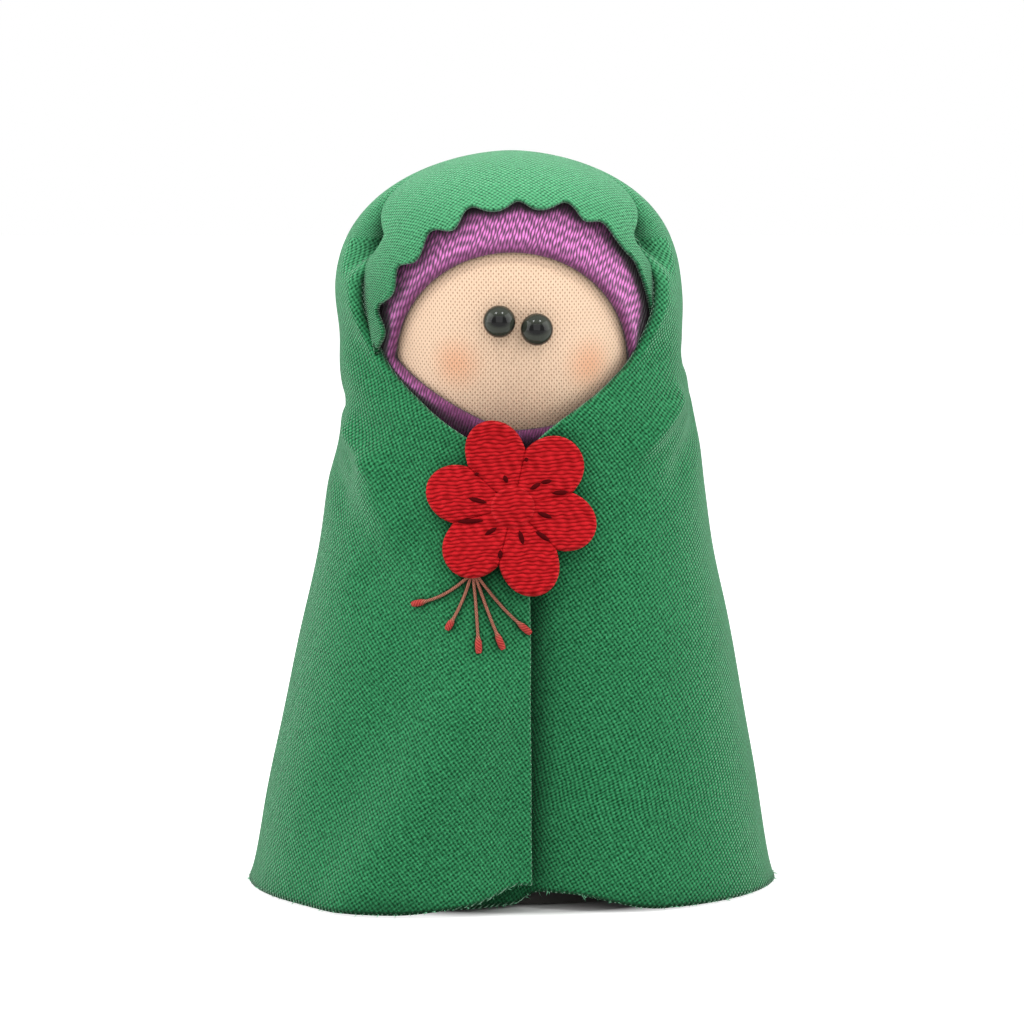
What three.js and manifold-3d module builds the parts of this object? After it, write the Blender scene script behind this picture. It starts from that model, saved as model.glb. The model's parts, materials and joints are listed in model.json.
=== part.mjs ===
// A small standing rag doll: a stuffed head in a purple scarf, a stuffed cone for a body,
// and one green sheet of cloth draped over both, pinned at the chest with a red flower.
// Millimetres, up is +Z, the face looks along -Y, the middle of the base is the origin.
import * as THREE from "three";
import { mergeVertices } from "three/addons/utils/BufferGeometryUtils.js";
import Module from "manifold-3d";

const wasm = await Module();
wasm.setup();

// Fits
const gap = 0.3;
const turnGap = 0.5;

// Base and torso
const baseThickness = 1.5;
const torsoBaseHalfWidth = 26.5;
const torsoBaseDepthShare = 0.64;
const torsoHeight = 52.55;
const torsoShoulderRadius = 16;
const torsoShoulderShare = 0.84;
const torsoClothThickness = 0.8;
const seatRadius = 9.5;

// Neck
const neckRadius = 3.6;
const neckTuftRadius = 5.2;
const neckHoleRadius = 6.3;
const neckDepth = 9.4;
const bindingTurns = 3;
const bindingThread = 0.7;
const bindingPitch = 1.25;

// Head
const headRadius = 17;
const headHalfHeight = 18.4;
const headSkinThickness = 1.2;
const beadDiameter = 4;
const beadSink = 0.5;
const shankDiameter = 0.9;
const shankLength = 4;
const leftEye = { across: -1.42, drop: -0.8 };
const rightEye = { across: 2.8, drop: 0.1 };

// Under scarf
const scarfThickness = 1.4;
const faceHalfWidth = 14.9;
const faceHalfUp = 13.7;
const faceHalfDown = 8.5;
const faceDrop = 4.35;
const scarfNeckRadius = 7.3;

// Veil
const veilThickness = 0.7;
const wingStandOff = 2.25;
const crownGap = 0.45;
const crownRise = 2.8;
const crownRound = 1.75;
const crownRingDrop = 4.4;
const waistDrop = 9.45;
const hemHalfWidth = 33.6;
const hemHalfDepth = 23.4;
const hemSkew = 0.06;
const hemLift = 0.3;
const hemFrontLift = 1.8;
const wingDegrees = 66;
const hoodFreeDegrees = 55;
const hoodEdgeDegrees = 76;
const slitRise = 10.4;
const hoodEdgeDrop = 6;
const hoodEdgeFall = 17.5;
const hoodEdgeWave = 6;
const hoodEdgeWaveDepth = 0.85;
const frontOpenRise = 1.45;
const frontOpenBottom = 18.15;
const frontLap = 0.8;
const frontLapDegrees = 6;
const frontCleft = 4;
const frontPinch = 3.2;
const pinchDrop = 15.25;
const pinchAbove = 16;
const pinchBelow = 27;

// Flower and its thread tails
const flowerHeight = 51.05;
const petalCount = 6;
const petalTurn = 46;
const petalReach = 10.8;
const petalThickness = 1.3;
const petalSlit = 0.4;
const flowerCentreRadius = 2.6;
const flowerCentreHeight = 1.6;
const backingRadius = 8.8;
const backingThickness = 0.5;
const tailThread = 0.55;
const tailTipDiameter = 1;
const tailTipLength = 2;
const tailRootSpacing = 0.9;
const tails = [
  { across: -12.3, drop: 12 },
  { across: -7.8, drop: 15 },
  { across: -4, drop: 17.5 },
  { across: -1.1, drop: 17.3 },
  { across: 2.0, drop: 15.2 },
];

// Places and sizes that follow
const torsoFoot = baseThickness + gap;
const seatZ = torsoFoot + torsoHeight;
const scarfInnerRadius = headRadius + gap;
const scarfOuterRadius = scarfInnerRadius + scarfThickness;
const scarfInnerHalf = headHalfHeight + gap;
const scarfOuterHalf = scarfInnerHalf + scarfThickness;
const seatSphereRadius = scarfOuterRadius + turnGap;
const seatSphereHalf = scarfOuterHalf + turnGap;
const headZ = seatZ + seatSphereHalf * Math.sqrt(1 - (seatRadius / seatSphereRadius) ** 2);
const hoodRadius = scarfOuterRadius + turnGap + veilThickness;
const veilHeadHalfWidth = hoodRadius + wingStandOff;
const veilHeadHalfDepth = hoodRadius + 0.6;
const crownHalf = scarfOuterHalf + crownGap + veilThickness;
const crownZ = headZ + crownHalf;
const slitZ = headZ + slitRise;
const waistZ = headZ - waistDrop;
const openTopZ = headZ + frontOpenRise;
const openBottomZ = headZ - frontOpenBottom;
const pinchZ = headZ - pinchDrop;

const radians = THREE.MathUtils.degToRad;
const blend = THREE.MathUtils.smoothstep;

function cloth(name, colour, roughness) {
  const material = new THREE.MeshStandardMaterial({ color: colour, roughness, metalness: 0 });
  material.name = name;
  return material;
}

function piece(name, geometry, material) {
  const mesh = new THREE.Mesh(geometry, material);
  mesh.name = name;
  return mesh;
}

// Welds a geometry's vertices and drops the triangles that close up to nothing.
function weld(geometry) {
  geometry.deleteAttribute("normal");
  geometry.deleteAttribute("uv");
  const joined = mergeVertices(geometry, 1e-4);
  const corners = joined.index.array;
  const kept = [];
  for (let i = 0; i < corners.length; i += 3) {
    const [a, b, c] = [corners[i], corners[i + 1], corners[i + 2]];
    if (a !== b && b !== c && a !== c) {
      kept.push(a, b, c);
    }
  }
  joined.setIndex(kept);
  return joined;
}

function toSolid(geometry) {
  const welded = weld(geometry.clone());
  const vertProperties = new Float32Array(welded.attributes.position.array);
  const triVerts = new Uint32Array(welded.index.array);
  return new wasm.Manifold(new wasm.Mesh({ numProp: 3, vertProperties, triVerts }));
}

function fromSolid(solid) {
  const mesh = solid.getMesh();
  const geometry = new THREE.BufferGeometry();
  geometry.setAttribute("position", new THREE.BufferAttribute(mesh.vertProperties, 3));
  geometry.setIndex(new THREE.BufferAttribute(mesh.triVerts, 1));
  return geometry;
}

function cut(geometry, ...tools) {
  let solid = toSolid(geometry);
  for (const tool of tools) {
    solid = solid.subtract(toSolid(tool));
  }
  return fromSolid(solid);
}

function join(geometry, other) {
  return fromSolid(toSolid(geometry).add(toSolid(other)));
}

// Turns a profile of [radius, height] pairs about the Z axis.
function revolve(profile, sides) {
  const points = profile.map(([radius, height]) => new THREE.Vector2(radius, height));
  return weld(new THREE.LatheGeometry(points, sides).rotateX(Math.PI / 2));
}

// Points along an upright ellipse's side, between two heights told as shares of its half height.
function ellipseSide(radius, half, centreZ, fromShare, toShare, steps) {
  const from = Math.asin(fromShare);
  const to = Math.asin(toShare);
  const points = [];
  for (let i = 0; i <= steps; i += 1) {
    const angle = from + ((to - from) * i) / steps;
    points.push([radius * Math.cos(angle), centreZ + half * Math.sin(angle)]);
  }
  return points;
}

// Height share of an ellipse's underside at a radius.
function underShare(atRadius, radius) {
  return -Math.sqrt(1 - (atRadius / radius) ** 2);
}

// Gives an open sheet its thickness: the sheet is the outer face, the inner face follows its normals,
// and a rim closes every free edge.
function thicken(points, quads, thickness) {
  const triangles = [];
  for (const [a, b, c, d] of quads) {
    if (a !== b && a !== d) {
      triangles.push([a, b, d]);
    }
    if (b !== c && c !== d) {
      triangles.push([b, c, d]);
    }
  }
  const normals = points.map(() => new THREE.Vector3());
  const edges = new Map();
  for (const [a, b, c] of triangles) {
    const normal = points[b].clone().sub(points[a]).cross(points[c].clone().sub(points[a]));
    for (const corner of [a, b, c]) {
      normals[corner].add(normal);
    }
    for (const [from, to] of [[a, b], [b, c], [c, a]]) {
      edges.set(from + "_" + to, [from, to]);
    }
  }
  const shift = points.length;
  const inner = points.map((point, i) => point.clone().addScaledVector(normals[i].normalize(), -thickness));
  const index = [];
  for (const [a, b, c] of triangles) {
    index.push(a, b, c, a + shift, c + shift, b + shift);
  }
  for (const [from, to] of edges.values()) {
    if (!edges.has(to + "_" + from)) {
      index.push(to, from, from + shift, to, from + shift, to + shift);
    }
  }
  const geometry = new THREE.BufferGeometry().setFromPoints([...points, ...inner]);
  geometry.setIndex(index);
  return geometry;
}

// Base: a card disc, oval like the torso's foot
function makeBaseDisc() {
  const profile = [[0, 0], [torsoBaseHalfWidth, 0], [torsoBaseHalfWidth, baseThickness], [0, baseThickness]];
  const geometry = revolve(profile, 40);
  geometry.scale(1, torsoBaseDepthShare, 1);
  return piece("base_disc", geometry, cloth("card", 0x9a7f5c, 0.9));
}

// Torso: narrow from front to back at the foot, round at the seat
function ovalTorso(geometry) {
  const positions = geometry.attributes.position;
  const shoulderZ = torsoFoot + torsoHeight * torsoShoulderShare;
  const ovalZ = (torsoFoot + shoulderZ) / 2;
  for (let i = 0; i < positions.count; i += 1) {
    const roundness = blend(positions.getZ(i), ovalZ, shoulderZ);
    const share = torsoBaseDepthShare + (1 - torsoBaseDepthShare) * roundness;
    positions.setY(i, positions.getY(i) * share);
  }
  return geometry;
}

function torsoSide(inset, footZ) {
  const shoulderZ = torsoFoot + torsoHeight * torsoShoulderShare;
  const points = [];
  for (let i = 0; i <= 6; i += 1) {
    const share = i / 6;
    const swell = 1.6 * Math.sin(Math.PI * share);
    const radius = torsoBaseHalfWidth + (torsoShoulderRadius - torsoBaseHalfWidth) * share + swell;
    points.push([radius - inset, footZ + (shoulderZ - footZ) * share]);
  }
  points.push([seatRadius + 6 - inset * 0.7, seatZ - 4 - inset * 0.7]);
  points.push([seatRadius - inset * 0.2, seatZ - inset]);
  return points;
}

function torsoSeat(inset, fromRadius, toRadius) {
  const radius = seatSphereRadius + inset;
  const half = seatSphereHalf + inset;
  const from = underShare(fromRadius, radius);
  const to = underShare(toRadius, radius);
  return ellipseSide(radius, half, headZ, from, to, 3);
}

function makeTorsoCover() {
  const innerFoot = torsoFoot;
  const inner = torsoSide(torsoClothThickness, innerFoot).slice(0, -1);
  const underSeat = torsoSeat(torsoClothThickness, seatRadius - 1, neckHoleRadius);
  const seat = torsoSeat(0, neckHoleRadius, seatRadius).slice(0, -1);
  const outer = torsoSide(0, torsoFoot).reverse();
  const profile = [...inner, ...underSeat, ...seat, ...outer];
  profile.push(profile[0]);
  const geometry = ovalTorso(revolve(profile.reverse(), 30));
  return piece("torso_cover", geometry, cloth("dress_cloth", 0x7d3f78, 0.95));
}

function makeTorsoFilling() {
  const inset = torsoClothThickness + gap;
  const side = torsoSide(inset, torsoFoot).slice(0, -1);
  const seat = torsoSeat(inset, seatRadius - 1, neckHoleRadius);
  const wellZ = seatZ - neckDepth - 2 * gap;
  const profile = [[0, torsoFoot], ...side, ...seat, [neckHoleRadius, wellZ], [0, wellZ]];
  const geometry = ovalTorso(revolve(profile, 24));
  return piece("torso_filling", geometry, cloth("wadding", 0xe9e4da, 1));
}

// Neck: the jersey's end, gathered under the head, spread below and bound with thread
function makeNeckGather() {
  const footZ = seatZ - neckDepth - gap;
  const dishRadius = headRadius + gap;
  const dishHalf = headHalfHeight + gap;
  const dish = ellipseSide(dishRadius, dishHalf, headZ, underShare(neckRadius + 0.5, dishRadius), -1, 3);
  dish[dish.length - 1] = [0, headZ - dishHalf];
  const profile = [
    [0, footZ],
    [neckTuftRadius - 0.6, footZ],
    [neckTuftRadius, footZ + 1],
    [neckTuftRadius - 0.5, footZ + 2.2],
    [neckRadius, footZ + 3.4],
    [neckRadius, seatZ - 1],
    ...dish,
  ];
  return piece("neck_gather", revolve(profile, 24), cloth("jersey", 0xf3d9bd, 0.95));
}

function windingPoints() {
  const steps = 24;
  const radius = neckRadius + gap + bindingThread / 2;
  const startZ = seatZ - neckDepth + 4.4;
  const points = [];
  for (let i = 0; i <= bindingTurns * steps; i += 1) {
    const angle = (2 * Math.PI * i) / steps;
    const height = startZ + (bindingPitch * i) / steps;
    points.push(new THREE.Vector3(radius * Math.cos(angle), radius * Math.sin(angle), height));
  }
  return points;
}

// The least clear space between one loop of a winding and the next.
function windingGap(points, steps) {
  let least = Infinity;
  for (let i = 0; i < points.length; i += 1) {
    for (let j = i + steps / 2; j < points.length; j += 1) {
      least = Math.min(least, points[i].distanceTo(points[j]));
    }
  }
  return least - bindingThread;
}

function makeNeckBinding() {
  const points = windingPoints();
  console.log("neck binding, least gap between loops: " + windingGap(points, 24).toFixed(2) + " mm");
  const ring = new THREE.Shape();
  for (let i = 0; i < 6; i += 1) {
    const angle = (Math.PI * i) / 3;
    const corner = [(bindingThread / 2) * Math.cos(angle), (bindingThread / 2) * Math.sin(angle)];
    if (i === 0) {
      ring.moveTo(...corner);
    } else {
      ring.lineTo(...corner);
    }
  }
  ring.closePath();
  const extrudePath = new THREE.CatmullRomCurve3(points);
  const options = { steps: bindingTurns * 24, bevelEnabled: false, extrudePath };
  const geometry = weld(new THREE.ExtrudeGeometry(ring, options));
  return piece("neck_binding", geometry, cloth("binding_thread", 0xf0e6d6, 0.8));
}

// Head: a stuffed ball, a jersey skin, and two beads on shanks pushed through the skin
function eyePlace(eye) {
  const z = headZ - eye.drop;
  const level = headRadius * Math.sqrt(1 - (eye.drop / headHalfHeight) ** 2);
  const skin = Math.sqrt(level ** 2 - eye.across ** 2);
  const out = new THREE.Vector3(eye.across, -skin, (z - headZ) * (headRadius / headHalfHeight) ** 2).normalize();
  const centre = new THREE.Vector3(eye.across, -skin, z);
  centre.addScaledVector(out, beadDiameter / 2 - beadSink);
  return { centre, out };
}

// A bead and its shank, grown by an amount all round to make the pocket that holds it.
function eyeGeometry(eye, grow) {
  const radius = beadDiameter / 2 + grow;
  const shank = shankDiameter / 2 + grow;
  const join = -Math.sqrt(radius ** 2 - shank ** 2);
  const start = Math.acos(join / radius);
  const profile = [[0, -beadDiameter / 2 - shankLength - grow], [shank, -beadDiameter / 2 - shankLength - grow]];
  for (let i = 0; i <= 8; i += 1) {
    const angle = start * (1 - i / 8);
    profile.push([radius * Math.sin(angle), radius * Math.cos(angle)]);
  }
  profile[profile.length - 1] = [0, radius];
  const geometry = revolve(profile, 16);
  const { centre, out } = eyePlace(eye);
  const turn = new THREE.Quaternion().setFromUnitVectors(new THREE.Vector3(0, 0, 1), out);
  return geometry.applyQuaternion(turn).translate(centre.x, centre.y, centre.z);
}

function makeEyes() {
  const bead = cloth("black_bead", 0x050505, 0.08);
  return [
    piece("left_eye", eyeGeometry(leftEye, 0), bead),
    piece("right_eye", eyeGeometry(rightEye, 0), bead.clone()),
  ];
}

function headBall(inset, sides, steps) {
  const side = ellipseSide(headRadius - inset, headHalfHeight - inset, headZ, -1, 1, steps);
  side[0] = [0, headZ - headHalfHeight + inset];
  side[steps] = [0, headZ + headHalfHeight - inset];
  return revolve(side, sides);
}

function makeHeadSkin() {
  const mouth = neckRadius - 0.6;
  const outerShare = underShare(mouth, headRadius);
  const inset = headSkinThickness;
  const innerShare = underShare(mouth, headRadius - inset);
  const outer = ellipseSide(headRadius, headHalfHeight, headZ, outerShare, 1, 12);
  outer[12] = [0, headZ + headHalfHeight];
  const inner = ellipseSide(headRadius - inset, headHalfHeight - inset, headZ, 1, innerShare, 9);
  inner[0] = [0, headZ + headHalfHeight - inset];
  const hollow = revolve([...outer, ...inner, outer[0]], 30);
  const skin = cut(hollow, eyeGeometry(leftEye, gap), eyeGeometry(rightEye, gap));
  return piece("head_skin", skin, cloth("jersey", 0xf3d9bd, 0.95));
}

function makeHeadFilling() {
  const ball = headBall(headSkinThickness + gap, 20, 10);
  const filling = cut(ball, eyeGeometry(leftEye, gap), eyeGeometry(rightEye, gap));
  return piece("head_filling", filling, cloth("wadding", 0xe9e4da, 1));
}

// Under scarf: a close cap over the whole head, open at the face and under the neck
function makeUnderScarf() {
  const outerShare = underShare(scarfNeckRadius, scarfOuterRadius);
  const innerShare = underShare(scarfNeckRadius, scarfInnerRadius);
  const outer = ellipseSide(scarfOuterRadius, scarfOuterHalf, headZ, outerShare, 1, 13);
  outer[13] = [0, headZ + scarfOuterHalf];
  const inner = ellipseSide(scarfInnerRadius, scarfInnerHalf, headZ, 1, innerShare, 10);
  inner[0] = [0, headZ + scarfInnerHalf];
  const cap = revolve([...outer, ...inner, outer[0]], 32);
  const opening = new THREE.Shape();
  opening.absellipse(0, 0, faceHalfWidth, faceHalfDown, 0, Math.PI);
  opening.absellipse(0, 0, faceHalfWidth, faceHalfUp, Math.PI, 2 * Math.PI);
  const depth = scarfOuterRadius;
  const tool = new THREE.ExtrudeGeometry(opening, { depth, bevelEnabled: false, curveSegments: 16 });
  tool.rotateX(Math.PI / 2);
  tool.translate(0, -4, headZ - faceDrop);
  return piece("under_scarf", cut(cap, tool), cloth("purple_cloth", 0xb45fb0, 0.9));
}

// Veil. Its outer face is oval at every level: a dome over the head, straight past the face,
// then a skirt that widens to the hem.
function skirtFall(z) {
  return Math.max(0, waistZ - z) / waistZ;
}

function veilHalves(z) {
  const rise = THREE.MathUtils.clamp((z - headZ) / crownHalf, 0, 1);
  const dome = (1 - rise ** crownRise) ** (1 / crownRound);
  const fall = skirtFall(z);
  const wide = veilHeadHalfWidth * dome + (hemHalfWidth - veilHeadHalfWidth) * fall;
  const deep = veilHeadHalfDepth * Math.sqrt(1 - rise ** 2) + (hemHalfDepth - veilHeadHalfDepth) * fall;
  return [wide, deep];
}

// Degrees run from the front round by the doll's left hand, which is on the viewer's right.
// The lapping side of the skirt stands further forward than the other.
function veilPoint(degrees, z, out) {
  const [wide, deep] = veilHalves(z);
  const angle = radians(degrees);
  const across = (wide + out) * Math.sin(angle);
  return new THREE.Vector3(across, hemSkew * skirtFall(z) * across - (deep + out) * Math.cos(angle), z);
}

function fromFront(degrees) {
  return degrees > 180 ? degrees - 360 : degrees;
}

// The sheet is drawn in under the chin, where the flower holds it.
function pinchIn(z) {
  const above = 1 - blend(z, pinchZ, pinchZ + pinchAbove);
  return frontPinch * above * blend(z, pinchZ - pinchBelow, pinchZ);
}

// The front panels lap at the chest and dip toward the cleft between them.
function panelOut(degrees, z) {
  const turn = fromFront(degrees);
  const side = degrees > 180 ? 1 : -1;
  const lapped = 1 - blend(z, openBottomZ, openBottomZ + 6);
  const near = 1 - blend(Math.abs(turn), 14, 50);
  const low = 1 - Math.min(z / openBottomZ, 1);
  const cleft = frontCleft * low * Math.exp(-((turn / 16) ** 2));
  const pinch = pinchIn(z) * Math.max(0, Math.cos(radians(turn))) ** 2;
  return side * frontLap * lapped * near - cleft - pinch;
}

function openingDegrees(z) {
  const share = THREE.MathUtils.clamp((z - openBottomZ) / (openTopZ - openBottomZ), 0, 1);
  return -frontLapDegrees + (wingDegrees + frontLapDegrees) * share;
}

// The hem stands on the floor at the sides and back, and lifts in front toward the cleft.
function hemHeight(degrees) {
  const turn = fromFront(degrees);
  const lift = turn < 0 ? blend(turn, -40, -8) : 1 - blend(turn, 8, 30);
  return hemLift + hemFrontLift * lift + 0.8 * Math.exp(-((turn / 6) ** 2));
}

// The hood lies close over the scarf and shares its round form.
function hoodPoint(degrees, z) {
  const rise = THREE.MathUtils.clamp((z - headZ) / crownHalf, 0, 1);
  const radius = hoodRadius * Math.sqrt(1 - rise ** 2);
  const angle = radians(degrees);
  return new THREE.Vector3(radius * Math.sin(angle), -radius * Math.cos(angle), z);
}

// Over the crown the hood runs into the wings, softly at the top and sharply at the slits.
function crownPoint(degrees, z) {
  const band = 9 + 22 * blend(z, slitZ, crownZ);
  const turn = Math.abs(fromFront(degrees));
  const share = blend(turn, wingDegrees - band, wingDegrees + band);
  return hoodPoint(degrees, z).lerp(veilPoint(degrees, z, 0), share);
}

// The crown's lower ring: at the slits' height round the back, higher over the forehead.
function ringHeight(degrees) {
  const front = 1 - blend(Math.abs(fromFront(degrees)), 30, wingDegrees);
  return slitZ + (crownZ - crownRingDrop - slitZ) * front;
}

// The hood's front edge falls from the forehead to the cheeks and is cut in waves.
function hoodEdgeSmooth(degrees) {
  const turn = degrees > 6 ? degrees - 6 : Math.max(0, 2.5 - degrees);
  const power = degrees > 6 ? 3.4 : 2.6;
  const share = Math.min(turn / wingDegrees, 1.03);
  return crownZ - hoodEdgeDrop - hoodEdgeFall * share ** power;
}

// Stations along the hood's edge, three to a wave, each with its degrees and its height.
function hoodEdgeStations() {
  const fine = [];
  let length = 0;
  for (let i = 0; i <= 400; i += 1) {
    const degrees = -hoodEdgeDegrees + (2 * hoodEdgeDegrees * i) / 400;
    const point = hoodPoint(degrees, hoodEdgeSmooth(degrees));
    if (i > 0) {
      length += point.distanceTo(fine[i - 1].point);
    }
    fine.push({ degrees, point, length });
  }
  const middle = fine.find(({ degrees }) => degrees >= 4).length;
  const step = hoodEdgeWave / 3;
  const first = -Math.floor(middle / step) + 1;
  const last = Math.floor((length - middle) / step) - 1;
  const lengths = [0];
  for (let i = first; i <= last; i += 1) {
    lengths.push(middle + i * step);
  }
  lengths.push(length);
  return lengths.map((wanted) => {
    const { degrees } = fine.find((entry) => entry.length >= wanted - 1e-9);
    const wave = hoodEdgeWaveDepth * Math.cos((2 * Math.PI * (wanted - middle)) / hoodEdgeWave);
    return { degrees, z: hoodEdgeSmooth(degrees) + wave };
  });
}

// Where an edge station's column meets the crown's ring: straight above, but within the slits.
function ringDegrees(degrees) {
  const beyond = Math.max(0, Math.abs(degrees) - hoodFreeDegrees);
  const share = (wingDegrees - hoodFreeDegrees) / (hoodEdgeDegrees - hoodFreeDegrees);
  return degrees - Math.sign(degrees) * beyond * (1 - share);
}

function backColumns(count) {
  const shares = [];
  for (let i = 0; i <= count; i += 1) {
    const even = i / count;
    const crowded = 0.5 - 0.5 * Math.cos(Math.PI * even);
    shares.push(0.6 * even + 0.4 * crowded);
  }
  return shares;
}

function outerLevels() {
  const levels = [];
  for (let i = 1; i <= 3; i += 1) {
    levels.push({ z: slitZ + ((openTopZ - slitZ) * i) / 3, down: 0 });
  }
  for (let i = 1; i <= 5; i += 1) {
    levels.push({ z: openTopZ + ((openBottomZ - openTopZ) * i) / 5, down: 0 });
  }
  for (let i = 1; i <= 6; i += 1) {
    levels.push({ z: openBottomZ, down: i / 6 });
  }
  return levels;
}

function makeVeil() {
  const points = [];
  const quads = [];
  const add = (point) => points.push(point) - 1;
  const shares = backColumns(26);
  const stations = hoodEdgeStations();
  const frontCount = stations.length - 1;
  const ringFront = stations.map(({ degrees }) => ringDegrees(degrees));
  const ringBack = shares.map((share) => wingDegrees + (360 - 2 * wingDegrees) * share);

  // crown, a ring of the front and back columns at each level
  const apex = add(new THREE.Vector3(0, 0, crownZ));
  const ring = [...ringFront.slice(0, -1), ...ringBack.slice(0, -1)];
  let above = ring.map(() => apex);
  for (let k = 1; k <= 3; k += 1) {
    const row = ring.map((degrees) => {
      const z = crownZ - (crownZ - ringHeight(degrees)) * (k / 3) ** 2;
      return add(crownPoint(degrees, z));
    });
    ring.forEach((degrees, i) => {
      const next = (i + 1) % ring.length;
      quads.push([above[i], row[i], row[next], above[next]]);
    });
    above = row;
  }
  const crownFront = above.slice(0, frontCount + 1);
  const crownBack = [...above.slice(frontCount), above[0]];

  // hood front, from the crown down to the wavy edge
  let frontRow = crownFront;
  for (let k = 1; k <= 2; k += 1) {
    const row = stations.map(({ degrees, z }, i) => {
      const share = k / 2;
      const from = ringHeight(ringFront[i]);
      return add(hoodPoint(ringFront[i] + (degrees - ringFront[i]) * share, from + (z - from) * share));
    });
    const upper = frontRow;
    row.slice(1).forEach((corner, i) => quads.push([upper[i], row[i], corner, upper[i + 1]]));
    frontRow = row;
  }

  // wings, back, front panels and skirt, from the crown down to the hem
  let backRow = crownBack;
  for (const { z, down } of outerLevels()) {
    const edge = openingDegrees(z);
    const row = shares.map((share) => {
      const degrees = edge + (360 - 2 * edge) * share;
      const level = z + (hemHeight(degrees) - z) * down;
      return add(veilPoint(degrees, level, panelOut(degrees, level)));
    });
    const upper = backRow;
    row.slice(1).forEach((corner, i) => quads.push([upper[i], row[i], corner, upper[i + 1]]));
    backRow = row;
  }
  return piece("veil", thicken(points, quads, veilThickness), cloth("green_cloth", 0x3f9a68, 0.95));
}

// Flower, laid against the chest: across is +X, up the chest is +Y and outward is +Z in its own group.
// Its plane leans with the chest, and its pieces follow what the chest stands off that plane.
function chest(z) {
  const [wide, full] = veilHalves(z);
  const deep = full - pinchIn(z);
  return { wide, deep, bend: wide ** 2 / full };
}

function chestLean() {
  const reach = 0.75 * petalReach;
  return Math.atan2(chest(flowerHeight - reach).deep - chest(flowerHeight + reach).deep, 2 * reach);
}

function chestRest(across, up) {
  const { deep, bend } = chest(flowerHeight);
  const off = chest(flowerHeight + up).deep - deep + up * Math.tan(chestLean());
  return off - across ** 2 / (2 * bend);
}

function makePetal(index) {
  const half = radians(180 / petalCount);
  const sink = petalSlit / 2 / Math.sin(half);
  const round = ((petalReach - sink) * Math.sin(half)) / (1 + Math.sin(half));
  const centre = petalReach - round;
  const root = flowerCentreRadius + petalSlit;
  const bevel = 0.4;
  const edge = round - bevel;
  const outline = new THREE.Shape();
  const rootHalf = (root - sink) * Math.tan(half) - bevel / Math.cos(half);
  outline.moveTo(root + bevel, -rootHalf * 0.9);
  outline.lineTo(centre - edge * Math.sin(half), -edge * Math.cos(half));
  outline.absarc(centre, 0, edge, -Math.PI / 2 - half, Math.PI / 2 + half, false);
  outline.lineTo(root + bevel, rootHalf * 0.9);
  outline.closePath();
  const depth = petalThickness - 2 * bevel;
  const options = { depth, bevelThickness: bevel, bevelSize: bevel, bevelSegments: 2, curveSegments: 10 };
  const geometry = weld(new THREE.ExtrudeGeometry(outline, options).translate(0, 0, bevel));
  return piece("flower_petal_" + (index + 1), geometry, cloth("red_thread", 0xd0313a, 0.55));
}

function makeBacking() {
  const points = [new THREE.Vector3(0, 0, 0)];
  const quads = [];
  const sides = 24;
  const rings = 2;
  for (let k = 1; k <= rings; k += 1) {
    for (let i = 0; i < sides; i += 1) {
      const angle = (2 * Math.PI * i) / sides;
      const u = ((backingRadius * k) / rings) * Math.cos(angle);
      const v = ((backingRadius * k) / rings) * Math.sin(angle);
      points.push(new THREE.Vector3(u, v, chestRest(u, v)));
    }
  }
  for (let k = 0; k < rings; k += 1) {
    for (let i = 0; i < sides; i += 1) {
      const next = (i + 1) % sides;
      const low = k === 0 ? [0, 0] : [1 + (k - 1) * sides + i, 1 + (k - 1) * sides + next];
      quads.push([low[0], 1 + k * sides + i, 1 + k * sides + next, low[1]]);
    }
  }
  const geometry = thicken(points, quads, backingThickness);
  return piece("flower_backing", geometry.translate(0, 0, backingThickness), cloth("red_thread", 0xa91f2a, 0.7));
}

function makeFlowerCentre() {
  const bottom = [[0, 0], [flowerCentreRadius - 0.3, 0], [flowerCentreRadius, 0.3]];
  const dome = [];
  for (let i = 0; i <= 4; i += 1) {
    const angle = (Math.PI * i) / 8;
    const rise = (flowerCentreHeight - 0.7) * Math.sin(angle);
    dome.push([flowerCentreRadius * Math.cos(angle), 0.7 + rise]);
  }
  dome[4] = [0, flowerCentreHeight];
  const geometry = revolve([...bottom, ...dome], 24);
  return piece("flower_centre", geometry, cloth("red_thread", 0xd0313a, 0.55));
}

function makeFlower() {
  const { deep, bend } = chest(flowerHeight);
  const flower = new THREE.Group();
  flower.position.set(0, -(deep + frontLap + gap + 0.15), flowerHeight);
  flower.rotation.x = Math.PI / 2 - chestLean();
  flower.add(makeBacking());
  const seat = backingThickness + gap + 0.1;
  const centre = makeFlowerCentre();
  centre.position.z = seat;
  flower.add(centre);
  const middle = 0.68 * petalReach;
  for (let i = 0; i < petalCount; i += 1) {
    const turn = radians(petalTurn + (360 / petalCount) * i);
    const across = middle * Math.cos(turn);
    const up = middle * Math.sin(turn);
    const carrier = new THREE.Group();
    carrier.position.set(across, up, seat + 0.2 + chestRest(across, up));
    carrier.rotation.y = Math.asin(across / bend);
    carrier.rotation.x = Math.atan2(chestRest(across, up + 2) - chestRest(across, up - 2), 4);
    const petal = makePetal(i);
    petal.rotation.z = turn;
    petal.position.set(-across, -up, 0);
    carrier.add(petal);
    flower.add(carrier);
  }
  return flower;
}

// Thread tails: each leaves from under the lowest petals and lies on the veil, ending in a thicker tip
function onVeil(across, z, out) {
  const { wide } = chest(z);
  const degrees = (Math.asin(across / wide) * 180) / Math.PI;
  const signed = degrees > frontLapDegrees ? degrees : 360 + degrees;
  return veilPoint(degrees, z, panelOut(signed, z) + out);
}

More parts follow.
